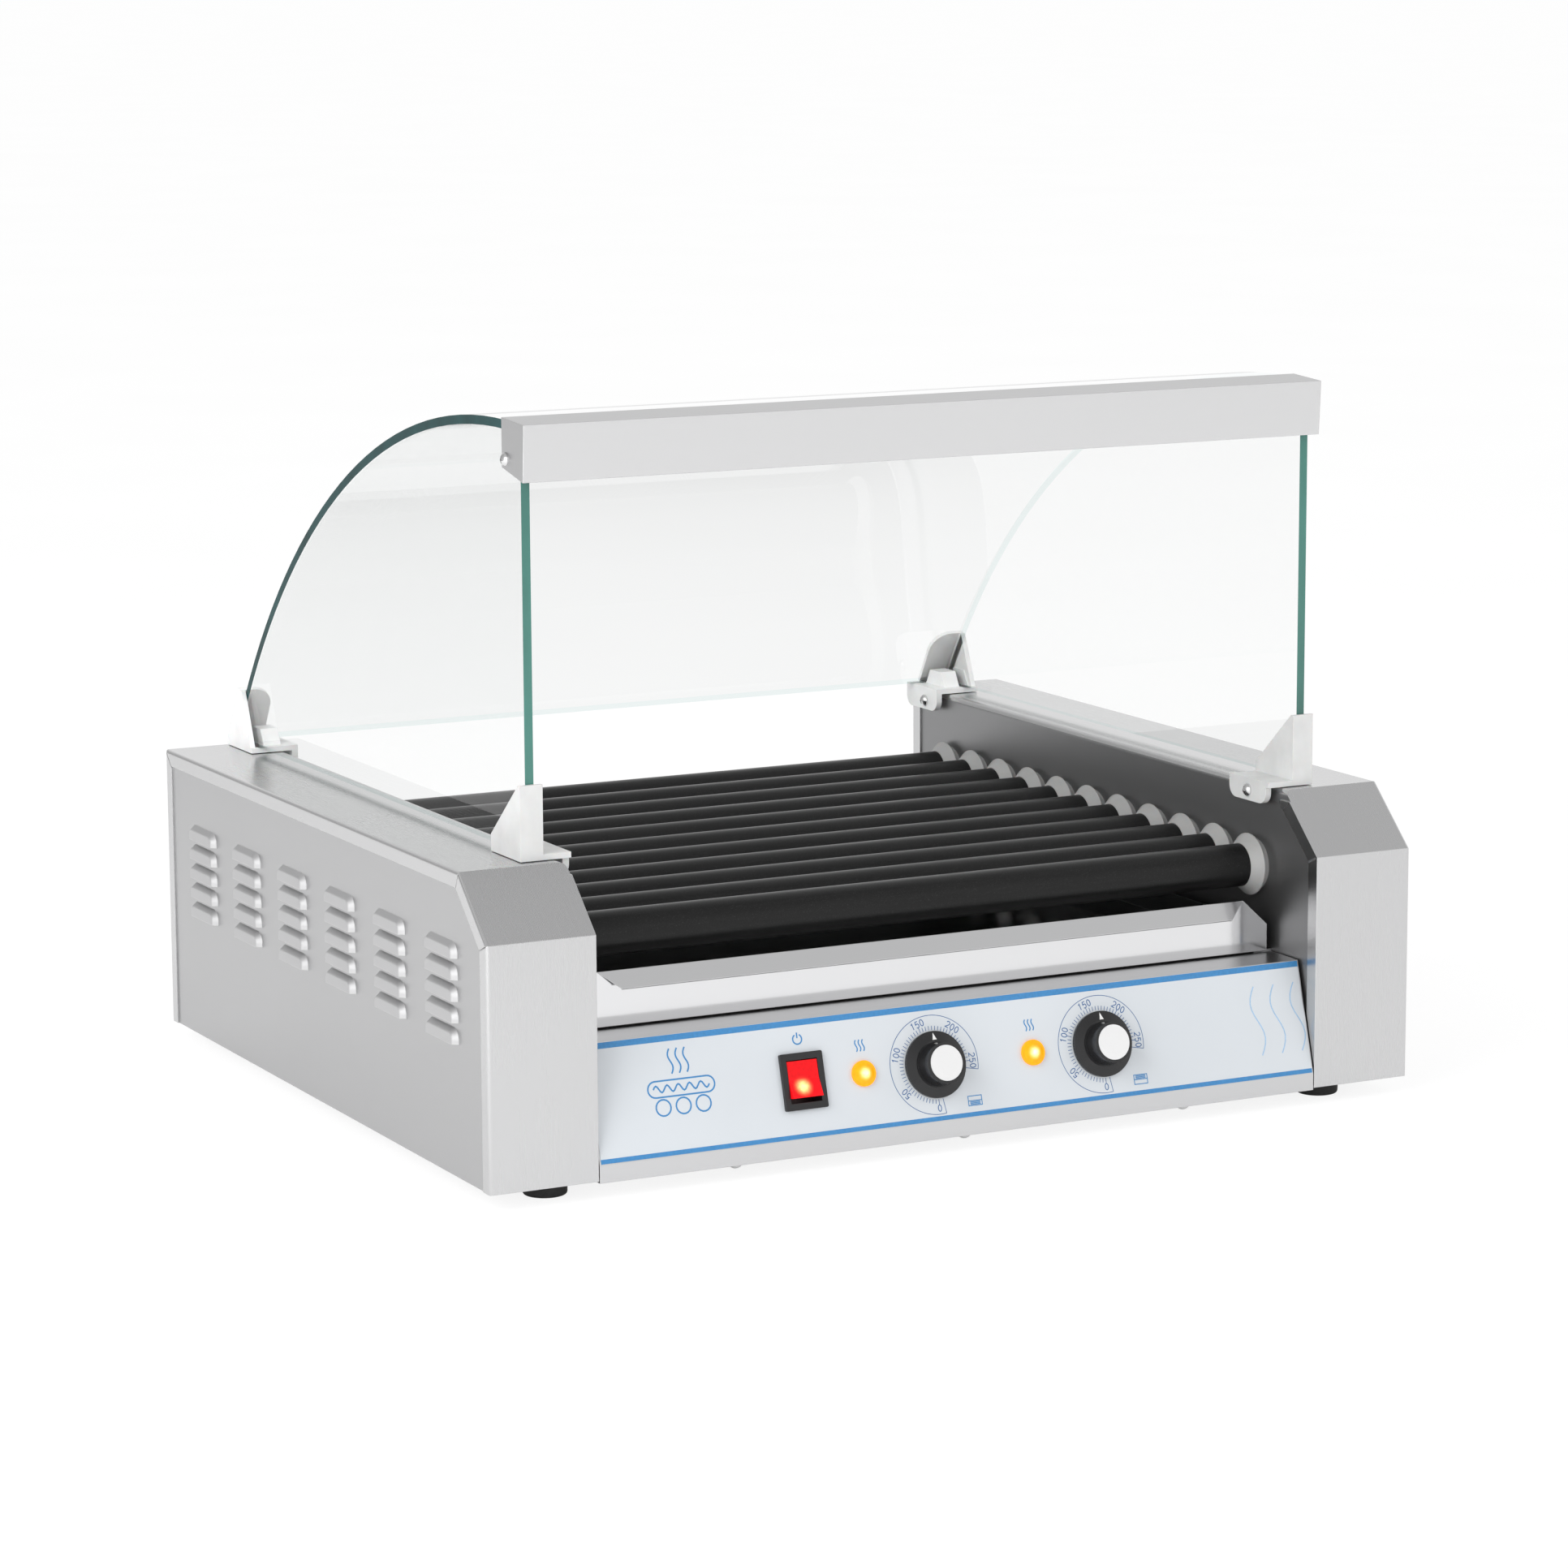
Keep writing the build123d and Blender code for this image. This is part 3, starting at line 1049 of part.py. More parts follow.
# ---- write every piece ----
pieces = {
    "left_casing_shell": left_casing_shell,
    "right_casing_shell": right_casing_shell,
    "left_louvre_panel": left_louvre_panel,
    "right_louvre_panel": right_louvre_panel,
    "base_plate": base_plate,
    "rear_panel": rear_panel,
    "rubber_feet": rubber_feet,
    "base_screws": base_screws,
    "control_panel": control_panel,
    "panel_overlay": panel_overlay,
    "front_thermostat": front_thermostat,
    "back_thermostat": back_thermostat,
    "front_knob": front_knob,
    "back_knob": back_knob,
    "front_knob_cap": front_knob_cap,
    "back_knob_cap": back_knob_cap,
    "switch_housing": switch_housing,
    "rocker_key": rocker_key,
    "heat_lamps": heat_lamps,
    "roller_bushings": roller_bushings,
    "heating_elements": heating_elements,
    "element_holders": element_holders,
    "motor_bracket": motor_bracket,
    "gear_motor": gear_motor,
    "motor_sprocket": motor_sprocket,
    "drive_chain": drive_chain,
    "tray_rails": tray_rails,
    "drip_tray": drip_tray,
    "curved_glass": curved_glass,
    "left_glass_pane": left_glass_pane,
    "right_glass_pane": right_glass_pane,
    "front_bar": front_bar,
    "bar_screws": bar_screws,
    "front_brackets": front_brackets,
    "rear_brackets": rear_brackets,
    "bracket_screws": bracket_screws,
    "terminal_block": terminal_block,
    "power_cord": power_cord,
}
for number, (tube, ring) in enumerate(zip(roller_tubes, roller_sprockets), start=1):
    pieces[f"roller_{number:02d}"] = tube
    pieces[f"roller_{number:02d}_sprocket"] = ring

for name, piece in pieces.items():
    write(piece, name)
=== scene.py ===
"""Looks for the hot dog roller grill: materials, printed graphics, fine pieces, light and camera.

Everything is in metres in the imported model's frame: +X along the rollers, the front faces -Y, +Z is up.
"""

import json
from math import cos, pi, radians, sin

import bmesh
import bpy
from mathutils import Matrix, Vector


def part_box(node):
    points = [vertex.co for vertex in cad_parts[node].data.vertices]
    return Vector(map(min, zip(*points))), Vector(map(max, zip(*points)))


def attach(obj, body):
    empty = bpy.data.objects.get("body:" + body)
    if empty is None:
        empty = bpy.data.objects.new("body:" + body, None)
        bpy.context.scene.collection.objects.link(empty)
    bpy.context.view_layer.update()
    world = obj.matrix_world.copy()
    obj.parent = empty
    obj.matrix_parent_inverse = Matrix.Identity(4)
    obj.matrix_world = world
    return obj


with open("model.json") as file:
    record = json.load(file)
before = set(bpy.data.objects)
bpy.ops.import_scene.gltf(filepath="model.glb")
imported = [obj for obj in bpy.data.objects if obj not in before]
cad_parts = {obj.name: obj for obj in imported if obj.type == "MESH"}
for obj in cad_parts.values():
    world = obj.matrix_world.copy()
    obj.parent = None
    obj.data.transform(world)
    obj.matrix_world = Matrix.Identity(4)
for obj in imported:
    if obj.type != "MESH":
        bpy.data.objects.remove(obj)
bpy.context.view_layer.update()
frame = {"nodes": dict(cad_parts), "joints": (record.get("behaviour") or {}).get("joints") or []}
nodes = frame["nodes"]
joints = {joint["name"]: joint for joint in frame["joints"]}

MM = 0.001

# ---- sizes of the machine that the looks need ----
LAMP_RADIUS = 7.2 * MM
LOUVRE_PROUD = 3.2 * MM        # how far the hoods stand out of a side panel
INNER_WALL_BEHIND = 1.6 * MM   # inner wall from the end of the control panel
ARCH_Y = -166.2 * MM           # centre line of the curved glass
ARCH_Z = -49.0 * MM
CAP_RADIUS = 9.9 * MM
CAP_HEIGHT = 14.8 * MM         # above the panel face

# ---- colours, linear light ----
STEEL = (0.63, 0.63, 0.635)
# painted shade: the side panels' steel, a darker copy of the casing steel
SHADED_SIDE_STEEL = (0.50, 0.50, 0.505)
# painted shade: the casing's inner wall, a darker copy of the casing steel
SHADED_INNER_STEEL = (0.34, 0.34, 0.345)
TRAY_STEEL = (0.76, 0.76, 0.77)
BAR_STEEL = (0.74, 0.74, 0.745)
# painted shade: the front bar's end and top faces, a darker copy of the bar steel
BAR_SHADED_FACE_STEEL = (0.55, 0.55, 0.555)
SCREW_STEEL = (0.72, 0.72, 0.72)
DRIVE_STEEL = (0.30, 0.30, 0.30)
ZINC = (0.50, 0.50, 0.47)
ROLLER_BLACK = (0.006, 0.006, 0.006)
PLASTIC_BLACK = (0.012, 0.012, 0.013)
BRACKET_GREY = (0.69, 0.695, 0.69)
# painted light: the rear brackets, lighter than the same plastic in front to lift the shade behind the glass
REAR_BRACKET_LIT_GREY = (0.95, 0.955, 0.95)
BUSHING_GREY = (0.37, 0.37, 0.365)
FILM_BLUE_WHITE = (0.625, 0.657, 0.69)
PRINT_BLUE = (0.045, 0.225, 0.49)
SCALE_BLUE = (0.05, 0.13, 0.31)
PALE_PRINT_BLUE = (0.33, 0.50, 0.70)
GLASS_TEAL = (0.040, 0.165, 0.135)
# painted shade: the curved sheet's edges facing -X, a darker copy of the green glass edge
GLASS_SHADED_EDGE = (0.010, 0.045, 0.046)
LAMP_AMBER = (1.0, 0.33, 0.006)
ROCKER_RED = (0.75, 0.004, 0.008)


# ---- material helpers ----
class Shader:
    """A new material's node tree with short ways to add nodes and join them."""

    def __init__(self, name):
        self.material = bpy.data.materials.new(name)
        self.material.use_nodes = True
        self.tree = self.material.node_tree
        self.tree.nodes.clear()
        self.output = self.add("ShaderNodeOutputMaterial")

    def add(self, kind, inputs=None, **settings):
        """Add a node; inputs maps a socket name or number to a value or another node's output."""
        node = self.tree.nodes.new(kind)
        for key, value in settings.items():
            setattr(node, key, value)
        for key, value in (inputs or {}).items():
            if isinstance(value, bpy.types.NodeSocket):
                self.tree.links.new(value, node.inputs[key])
            else:
                node.inputs[key].default_value = value
        return node

    def finish(self, surface):
        """Use this shader output as the material's surface."""
        self.tree.links.new(surface, self.output.inputs["Surface"])
        return self.material

    def place(self):
        """Position in the row frame; every mesh keeps its place in its vertices."""
        return self.add("ShaderNodeTexCoord").outputs["Object"]

    def scaled(self, vector, scale):
        """Vector multiplied part by part."""
        return self.add("ShaderNodeVectorMath", {0: vector, 1: scale}, operation="MULTIPLY").outputs[0]

    def noise(self, vector, scale=1.0, detail=3.0, roughness=0.55):
        """Grey noise value."""
        node = self.add(
            "ShaderNodeTexNoise",
            {"Vector": vector, "Scale": scale, "Detail": detail, "Roughness": roughness},
        )
        return node.outputs["Fac"]

    def spread(self, value, low, high, from_low=0.3, from_high=0.7):
        """Map a value from one range to another, clamped."""
        node = self.add(
            "ShaderNodeMapRange",
            {"Value": value, "From Min": from_low, "From Max": from_high, "To Min": low, "To Max": high},
        )
        return node.outputs["Result"]

    def maths(self, operation, first, second=0.0):
        """One scalar operation."""
        return self.add("ShaderNodeMath", {0: first, 1: second}, operation=operation).outputs[0]

    def distance_to(self, place, points):
        """Distance from the shaded place to the nearest of some points."""
        nearest = None
        for point in points:
            step = self.add("ShaderNodeVectorMath", {0: place, 1: tuple(point)}, operation="DISTANCE")
            away = step.outputs["Value"]
            nearest = away if nearest is None else self.maths("MINIMUM", nearest, away)
        return nearest

    def mix(self, factor, first, second):
        """Mix two colours."""
        node = self.add("ShaderNodeMix", data_type="RGBA")
        for socket, value in ((0, factor), (6, first), (7, second)):
            if isinstance(value, bpy.types.NodeSocket):
                self.tree.links.new(value, node.inputs[socket])
            else:
                node.inputs[socket].default_value = value if socket == 0 else (*value[:3], 1)
        return node.outputs[2]

    def tinted(self, colour, value):
        """A colour made lighter or darker by a scalar output around 1."""
        combined = self.add("ShaderNodeCombineColor", {"Red": value, "Green": value, "Blue": value})
        node = self.add("ShaderNodeMix", data_type="RGBA", blend_type="MULTIPLY")
        node.inputs[0].default_value = 1
        self.tree.links.new(combined.outputs[0], node.inputs[7])
        if isinstance(colour, bpy.types.NodeSocket):
            self.tree.links.new(colour, node.inputs[6])
        else:
            node.inputs[6].default_value = (*colour[:3], 1)
        return node.outputs[2]

    def edge_mask(self, radius):
        """(rounded normal, 0..1 mask of sharp outer edges) from the bevel node."""
        rounded = self.add("ShaderNodeBevel", {"Radius": radius}, samples=4).outputs["Normal"]
        flat = self.add("ShaderNodeNewGeometry").outputs["Normal"]
        along = self.add("ShaderNodeVectorMath", {0: rounded, 1: flat}, operation="DOT_PRODUCT")
        return rounded, self.spread(along.outputs["Value"], 1, 0, 0.80, 0.995)


def grained_steel(name, tint, grain, roughness=0.3, contrast=0.002, bump=0.002, edge=0.0006):
    """Brushed stainless sheet; grain holds the noise scales along X, Y and Z, small along the brushing."""
    s = Shader(name)
    place = s.place()
    fine = s.noise(s.scaled(place, grain), 1.0, 2.0)
    broad = s.noise(s.scaled(place, tuple(g * 0.06 for g in grain)), 1.0, 2.0)
    smudge = s.noise(place, 9.0, 4.0, 0.6)
    shade = s.maths("ADD", s.spread(fine, 1 - contrast, 1 + contrast), s.spread(broad, -contrast, contrast))
    colour = s.tinted(tint, shade)
    normal, painted_edge_highlight = s.edge_mask(edge)
    # painted highlight: the sharp outer edges are lightened towards pale grey
    colour = s.mix(s.maths("MULTIPLY", painted_edge_highlight, 0.6), colour, (0.95, 0.95, 0.95))
    rough = s.maths("ADD", s.spread(fine, roughness - 0.008, roughness + 0.008), s.spread(smudge, 0, 0.02))
    raised = s.add(
        "ShaderNodeBump",
        {"Strength": bump, "Distance": 0.00002, "Height": fine, "Normal": normal},
    )
    surface = s.add(
        "ShaderNodeBsdfPrincipled",
        {"Base Color": colour, "Metallic": 1.0, "Roughness": rough, "Normal": raised.outputs[0]},
    )
    return s.finish(surface.outputs[0])


def moulded_plastic(name, tint, roughness=0.4, texture=900.0, bump=0.2, edge=0.0004, subsurface=0.0):
    """Moulded plastic with a fine spark-eroded texture and a painted highlight that lightens its edges."""
    s = Shader(name)
    place = s.place()
    fine = s.noise(place, texture, 2.0)
    broad = s.noise(place, 60.0, 3.0)
    normal, painted_edge_highlight = s.edge_mask(edge)
    colour = s.tinted(tint, s.spread(broad, 0.94, 1.05))
    # painted highlight: the sharp edges are lightened
    colour = s.mix(s.maths("MULTIPLY", painted_edge_highlight, 0.25), colour, tuple(min(1, c * 1.4 + 0.05) for c in tint))
    rough = s.spread(fine, roughness - 0.06, roughness + 0.06)
    raised = s.add(
        "ShaderNodeBump",
        {"Strength": bump, "Distance": 0.00003, "Height": fine, "Normal": normal},
    )
    surface = s.add(
        "ShaderNodeBsdfPrincipled",
        {
            "Base Color": colour,
            "Roughness": rough,
            "Normal": raised.outputs[0],
            "Subsurface Weight": subsurface,
            "Subsurface Scale": 0.002,
        },
    )
    return s.finish(surface.outputs[0])


def roller_coating():
    """Satin black non-stick coating with a fine orange-peel grain and grey speckle."""
    s = Shader("roller_coating")
    place = s.place()
    fine = s.noise(place, 1400.0, 2.0)
    speck = s.noise(place, 2600.0, 1.0)
    streak = s.noise(s.scaled(place, (14.0, 300.0, 300.0)), 1.0, 3.0)
    colour = s.tinted(ROLLER_BLACK, s.spread(streak, 0.8, 1.3))
    colour = s.mix(s.spread(speck, 0.0, 0.35, 0.62, 0.75), colour, (0.10, 0.10, 0.10))
    rough = s.maths("ADD", s.spread(fine, 0.30, 0.38), s.spread(streak, -0.03, 0.03))
    raised = s.add("ShaderNodeBump", {"Strength": 0.2, "Distance": 0.00003, "Height": fine})
    surface = s.add(
        "ShaderNodeBsdfPrincipled",
        {"Base Color": colour, "Roughness": rough, "Normal": raised.outputs[0], "Specular IOR Level": 0.28},
    )
    return s.finish(surface.outputs[0])


def glass_face():
    """Clear sheet seen through its face: nearly colourless, with the reflection of real glass."""
    s = Shader("glass_face")
    geometry = s.add("ShaderNodeNewGeometry")
    wipe = s.noise(s.place(), 6.0, 3.0)
    clear = s.add("ShaderNodeBsdfTransparent", {"Color": (0.979, 0.982, 0.981, 1)})
    gloss = s.add("ShaderNodeBsdfGlossy", {"Color": (1, 1, 1, 1), "Roughness": s.spread(wipe, 0.0, 0.02)})
    facing = s.add(
        "ShaderNodeVectorMath",
        {0: geometry.outputs["Incoming"], 1: geometry.outputs["Normal"]},
        operation="DOT_PRODUCT",
    )
    grazing = s.maths("SUBTRACT", 1.0, s.maths("ABSOLUTE", facing.outputs["Value"]))
    share = s.maths("ADD", s.maths("MULTIPLY", s.maths("POWER", grazing, 5.0), 0.9), 0.05)
    # only the outer side of each face reflects, so that nothing is trapped inside the sheet
    outer = s.maths("SUBTRACT", 1.0, geometry.outputs["Backfacing"])
    joined = s.add(
        "ShaderNodeMixShader",
        {0: s.maths("MULTIPLY", share, outer), 1: clear.outputs[0], 2: gloss.outputs[0]},
    )
    return s.finish(joined.outputs[0])


def glass_edge(name, tint, gloss):
    """Polished edge of float glass: deep green from outside, a pale line seen through the sheet."""
    s = Shader(name)
    streak = s.noise(s.scaled(s.place(), (40.0, 40.0, 8.0)), 1.0, 3.0)
    colour = s.tinted(tint, s.spread(streak, 0.75, 1.3))
    surface = s.add(
        "ShaderNodeBsdfPrincipled",
        {
            "Base Color": colour,
            "Roughness": s.spread(streak, 0.08, 0.2),
            "Specular IOR Level": 0.1 + 0.65 * gloss,
            "Coat Weight": gloss,
            "Coat Roughness": 0.05,
        },
    )
    through = s.add("ShaderNodeBsdfTransparent", {"Color": (0.90, 0.955, 0.95, 1)})
    behind = s.add("ShaderNodeNewGeometry").outputs["Backfacing"]
    joined = s.add("ShaderNodeMixShader", {0: behind, 1: surface.outputs[0], 2: through.outputs[0]})
    return s.finish(joined.outputs[0])


def printed_film():
    """Pale printed film with a faint satin texture."""
    s = Shader("printed_film")
    place = s.place()
    fine = s.noise(place, 1800.0, 2.0)
    broad = s.noise(place, 12.0, 2.0)
    colour = s.tinted(FILM_BLUE_WHITE, s.spread(broad, 0.98, 1.02))
    raised = s.add("ShaderNodeBump", {"Strength": 0.1, "Distance": 0.00001, "Height": fine})
    surface = s.add(
        "ShaderNodeBsdfPrincipled",
        {"Base Color": colour, "Roughness": s.spread(fine, 0.3, 0.4), "Normal": raised.outputs[0]},
    )
    return s.finish(surface.outputs[0])


def ink(name, tint):
    """Screen-printed ink, very slightly uneven."""
    s = Shader(name)
    uneven = s.noise(s.place(), 700.0, 2.0)
    surface = s.add(
        "ShaderNodeBsdfPrincipled",
        {
            "Base Color": s.tinted(tint, s.spread(uneven, 0.92, 1.08)),
            "Roughness": s.spread(uneven, 0.35, 0.5),
        },
    )
    return s.finish(surface.outputs[0])


def lit_lens(name, tint, hot, spots, reach, strength, painted_shade_above=None):
    """Translucent plastic lit from behind: brightest round the given spots, saturated away from them.

    With a point given, the plastic beyond it up the panel's slope gets painted shade: its glow is cut to
    about a third, for the half that faces away.
    """
    s = Shader(name)
    place = s.place()
    glow = s.add(
        "ShaderNodeMapRange",
        {
            "Value": s.distance_to(place, spots),
            "From Min": 0.0,
            "From Max": reach,
            "To Min": 1.0,
            "To Max": 0.0,
        },
        interpolation_type="SMOOTHSTEP",
    ).outputs["Result"]
    mottle = s.noise(place, 500.0, 2.0)
    glow = s.maths("MULTIPLY", glow, s.spread(mottle, 0.85, 1.1))
    light = s.mix(glow, tint, hot)
    power = s.maths("ADD", s.maths("MULTIPLY", glow, strength), 0.45)
    if painted_shade_above is not None:
        # painted shade: the glow is cut up the slope beyond the given point
        offset = s.add("ShaderNodeVectorMath", {0: place, 1: tuple(painted_shade_above)}, operation="SUBTRACT")
        upward = s.add(
            "ShaderNodeVectorMath",
            {0: offset.outputs[0], 1: tuple(panel_face.y_axis)},
            operation="DOT_PRODUCT",
        )
        power = s.maths("MULTIPLY", power, s.spread(upward.outputs["Value"], 1, 0.3, -0.0004, 0.0004))
    surface = s.add(
        "ShaderNodeBsdfPrincipled",
        {
            "Base Color": s.tinted(tint, s.spread(mottle, 0.9, 1.1)),
            "Roughness": 0.18,
            "Specular IOR Level": 0.2,
            "Emission Color": light,
            "Emission Strength": power,
        },
    )
    return s.finish(surface.outputs[0])


def spun_aluminium(name, centres, radius):
    """Spun disc: fine rings about each centre and the soft radial sheen they give."""
    s = Shader(name)
    place = s.place()
    rings = s.maths("SINE", s.maths("MULTIPLY", s.distance_to(place, centres), 2 * pi * 60 / radius))
    grit = s.noise(place, 3000.0, 1.0)
    height = s.maths("ADD", rings, grit)
    colour = s.tinted((0.92, 0.92, 0.92), s.spread(rings, 0.96, 1.0, -1, 1))
    raised = s.add("ShaderNodeBump", {"Strength": 0.2, "Distance": 0.00001, "Height": height})
    surface = s.add(
        "ShaderNodeBsdfPrincipled",
        {
            "Base Color": colour,
            "Metallic": 0.9,
            "Roughness": s.spread(grit, 0.3, 0.4),
            "Normal": raised.outputs[0],
        },
    )
    return s.finish(surface.outputs[0])


# ---- mesh helpers ----
def add_piece(name, mesh, material, body, smooth=True):
    """Object for a finished mesh, riding on a body, with the given material."""
    piece = bpy.data.objects.new(name, mesh)
    bpy.context.scene.collection.objects.link(piece)
    mesh.materials.append(material)
    for polygon in mesh.polygons:
        polygon.use_smooth = smooth
    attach(piece, body)
    return piece


def dress(material, *names):
    """Give CAD nodes a material."""
    for name in names:
        mesh = nodes[name].data
        mesh.materials.clear()
        mesh.materials.append(material)


def redress(material, names, chosen):
    """Give the polygons that pass a test, on CAD nodes already dressed, a further material."""
    for name in names:
        mesh = nodes[name].data
        mesh.materials.append(material)
        for polygon in mesh.polygons:
            if chosen(polygon):
                polygon.material_index = len(mesh.materials) - 1


class Face:
    """A flat place on the machine: local x, y and height above it become a point of the frame."""

    def __init__(self, origin, x_axis, normal):
        self.origin = Vector(origin)
        self.x_axis = Vector(x_axis).normalized()
        self.normal = Vector(normal).normalized()
        self.y_axis = self.normal.cross(self.x_axis)

    def point(self, x, y, height=0.0):
        return self.origin + self.x_axis * x + self.y_axis * y + self.normal * height


INK_HEIGHT = 0.05 * MM


def add_strokes(bm, face, strokes, width, height=INK_HEIGHT):
    """Raised flat strokes along polylines; a stroke whose ends meet is closed."""
    for stroke in strokes:
        points = [Vector(p) for p in stroke]
        closed = (points[0] - points[-1]).length < 1e-7
        if closed:
            points = points[:-1]
        count = len(points)
        rows = []
        for i, point in enumerate(points):
            before = points[i - 1] if closed or i else point
            after = points[(i + 1) % count] if closed or i < count - 1 else point
            into = (point - before).normalized() if (point - before).length else None
            out = (after - point).normalized() if (after - point).length else None
            into = into or out
            out = out or into
            side = Vector((-(into + out).y, (into + out).x))
            side = side.normalized() if side.length else Vector((-out.y, out.x))
            reach = width / 2 / max(0.4, side.dot(Vector((-out.y, out.x))))
            left = point + side * reach
            right = point - side * reach
            rows.append(
                [
                    bm.verts.new(face.point(left.x, left.y, height)),
                    bm.verts.new(face.point(right.x, right.y, height)),
                    bm.verts.new(face.point(right.x, right.y, 0.0)),
                    bm.verts.new(face.point(left.x, left.y, 0.0)),
                ]
            )
        for i in range(count if closed else count - 1):
            one = rows[i]
            two = rows[(i + 1) % count]
            for k in range(4):
                bm.faces.new((one[k], one[(k + 1) % 4], two[(k + 1) % 4], two[k]))
        if not closed:
            bm.faces.new(rows[0])
            bm.faces.new(list(reversed(rows[-1])))


def arc(cx, cy, rx, ry, start, end, steps):
    """Points of an elliptical arc, angles in degrees counter-clockwise from +x."""
    return [
        (cx + rx * cos(radians(start + (end - start) * i / steps)),
         cy + ry * sin(radians(start + (end - start) * i / steps)))
        for i in range(steps + 1)
    ]


def turned(strokes, angle, x, y):
    """Strokes turned by an angle in degrees and moved."""
    c = cos(radians(angle))
    s = sin(radians(angle))
    return [[(x + px * c - py * s, y + px * s + py * c) for px, py in stroke] for stroke in strokes]


# ---- printed graphics ----
DIGIT_WIDTH = 0.62
DIGIT_STEP = 0.82
DIGITS = {
    "0": [arc(0.31, 0.5, 0.27, 0.48, 90, 450, 20)],
    "1": [[(0.14, 0.80), (0.34, 0.98), (0.34, 0.02)]],
    "2": [arc(0.31, 0.70, 0.27, 0.28, 165, -35, 10) + [(0.05, 0.02), (0.60, 0.02)]],
    "5": [[(0.54, 0.98), (0.12, 0.98), (0.08, 0.55)] + arc(0.30, 0.33, 0.27, 0.31, 130, -140, 12)],
}
NUMERAL_HEIGHT = 3.7 * MM
NUMERAL_RADIUS = 24.1 * MM
SCALE_RADIUS = 27.5 * MM
TICK_INNER = 19.2 * MM
TICK_OUTER = 21.6 * MM
LONG_TICK_OUTER = 22.3 * MM
SCALE_SWEEP = 270.0
SCALE_STEPS = 50
FINE_LINE = 0.36 * MM
NUMERAL_LINE = 0.50 * MM


def scale_point(radius, angle):
    """Dial point at an angle clockwise from six o'clock."""
    return (-radius * sin(radians(angle)), -radius * cos(radians(angle)))


def numeral(text, angle):
    """Strokes of a number set with its top outwards at an angle on the scale."""
    width = (DIGIT_STEP * (len(text) - 1) + DIGIT_WIDTH) * NUMERAL_HEIGHT
    strokes = []
    for i, digit in enumerate(text):
        for stroke in DIGITS[digit]:
            strokes.append([
                (x * NUMERAL_HEIGHT + i * DIGIT_STEP * NUMERAL_HEIGHT - width / 2, (y - 0.5) * NUMERAL_HEIGHT)
                for x, y in stroke
            ])
    x, y = scale_point(NUMERAL_RADIUS, angle)
    return turned(strokes, 180 - angle, x, y)


def dial_strokes():
    """(fine lines, numerals) of one temperature scale."""
    fine = []
    for i in range(SCALE_STEPS + 1):
        angle = SCALE_SWEEP * i / SCALE_STEPS
        outer = LONG_TICK_OUTER if i % 10 == 0 else TICK_OUTER
        fine.append([scale_point(TICK_INNER, angle), scale_point(outer, angle)])
    first, last = -8.0, SCALE_SWEEP + 11.0
    steps = 72
    fine.append([scale_point(SCALE_RADIUS, first + (last - first) * i / steps) for i in range(steps + 1)])
    fine.append([scale_point(TICK_INNER, first), scale_point(SCALE_RADIUS, first)])
    fine.append([scale_point(TICK_INNER, last), scale_point(SCALE_RADIUS, last)])
    numbers = []
    for i, value in enumerate((0, 50, 100, 150, 200, 250)):
        numbers += numeral(str(value), SCALE_SWEEP * i / 5)
    return fine, numbers


def heat_waves(size):
    """Three rising waves, a generic sign for heat."""
    waves = []
    for x in (-0.34, 0, 0.34):
        waves.append([(size * (x + 0.09 * sin(2 * pi * t / 12)), size * (t / 12 - 0.5)) for t in range(13)])
    return waves


def power_sign(size):
    """Open ring with a bar, the generic sign for power."""
    ring = arc(0, 0, size * 0.42, size * 0.42, 120, 420, 20)
    return [ring, [(0, size * 0.08), (0, size * 0.56)]]


def zone_sign(size, front):
    """Outlined plate with its front or back half hatched, for the heated zone a knob serves."""
    w, h = size, size * 0.62
    outline = [(-w / 2, -h / 2), (w / 2, -h / 2), (w / 2, h / 2), (-w / 2, h / 2), (-w / 2, -h / 2)]
    lines = [outline, [(-w / 2, 0), (w / 2, 0)]]
    side = -1 if front else 1
    for k in (0.25, 0.5, 0.75):
        lines.append([(-w * 0.38, side * h * k / 2), (w * 0.38, side * h * k / 2)])
    return lines


def sausage_sign(length):
    """Plain pictogram: a sausage over three rollers with rising heat."""
    r = length * 0.11
    half = length / 2 - r
    capsule = arc(half, 0, r, r, -90, 90, 10) + arc(-half, 0, r, r, 90, 270, 10)
    capsule.append(capsule[0])
    wave = [(length * 0.42 * (t / 20 - 1), r * 0.42 * sin(pi * t / 4)) for t in range(41)]
    rollers = [arc(x * length, -2.3 * r, r, r, 0, 360, 18) for x in (-0.3, 0, 0.3)]
    waves = turned(heat_waves(length * 0.34), 0, 0, length * 0.36)
    return [capsule, wave] + rollers + waves


# the printed face of the panel, from the knobs' own axes
dial_joints = [joints["front_dial_turn"], joints["back_dial_turn"]]
panel_normal = Vector(dial_joints[0]["axis"])
dial_faces = [Face(j["pos_m"], (1, 0, 0), panel_normal) for j in dial_joints]
film_low, film_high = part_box("panel_overlay")
panel_face = Face((0, dial_joints[0]["pos_m"][1], dial_joints[0]["pos_m"][2]), (1, 0, 0), panel_normal)

# heights on the film, up the slope from the row of controls
ROW_TO_TOP = 34.1 * MM
TOP_STRIPE = ROW_TO_TOP - 2.1 * MM
BOTTOM_STRIPE = ROW_TO_TOP - 63.9 * MM
TOP_STRIPE_WIDTH = 3.3 * MM
BOTTOM_STRIPE_WIDTH = 2.5 * MM
LAMP_SIGN = 15.5 * MM
POWER_SIGN = 23.0 * MM
ZONE_SIGN = (22.5 * MM, -22.3 * MM)      # from its knob
PICTOGRAM = (-172.5 * MM, 5.0 * MM)
PALE_WAVES = (207 * MM, 2 * MM)

# sizes of the signs
SMALL_SIGN_SIZE = 6.5 * MM
ZONE_SIGN_SIZE = 8.5 * MM
PICTOGRAM_SIZE = 40 * MM
PALE_WAVES_SIZE = 39.6 * MM


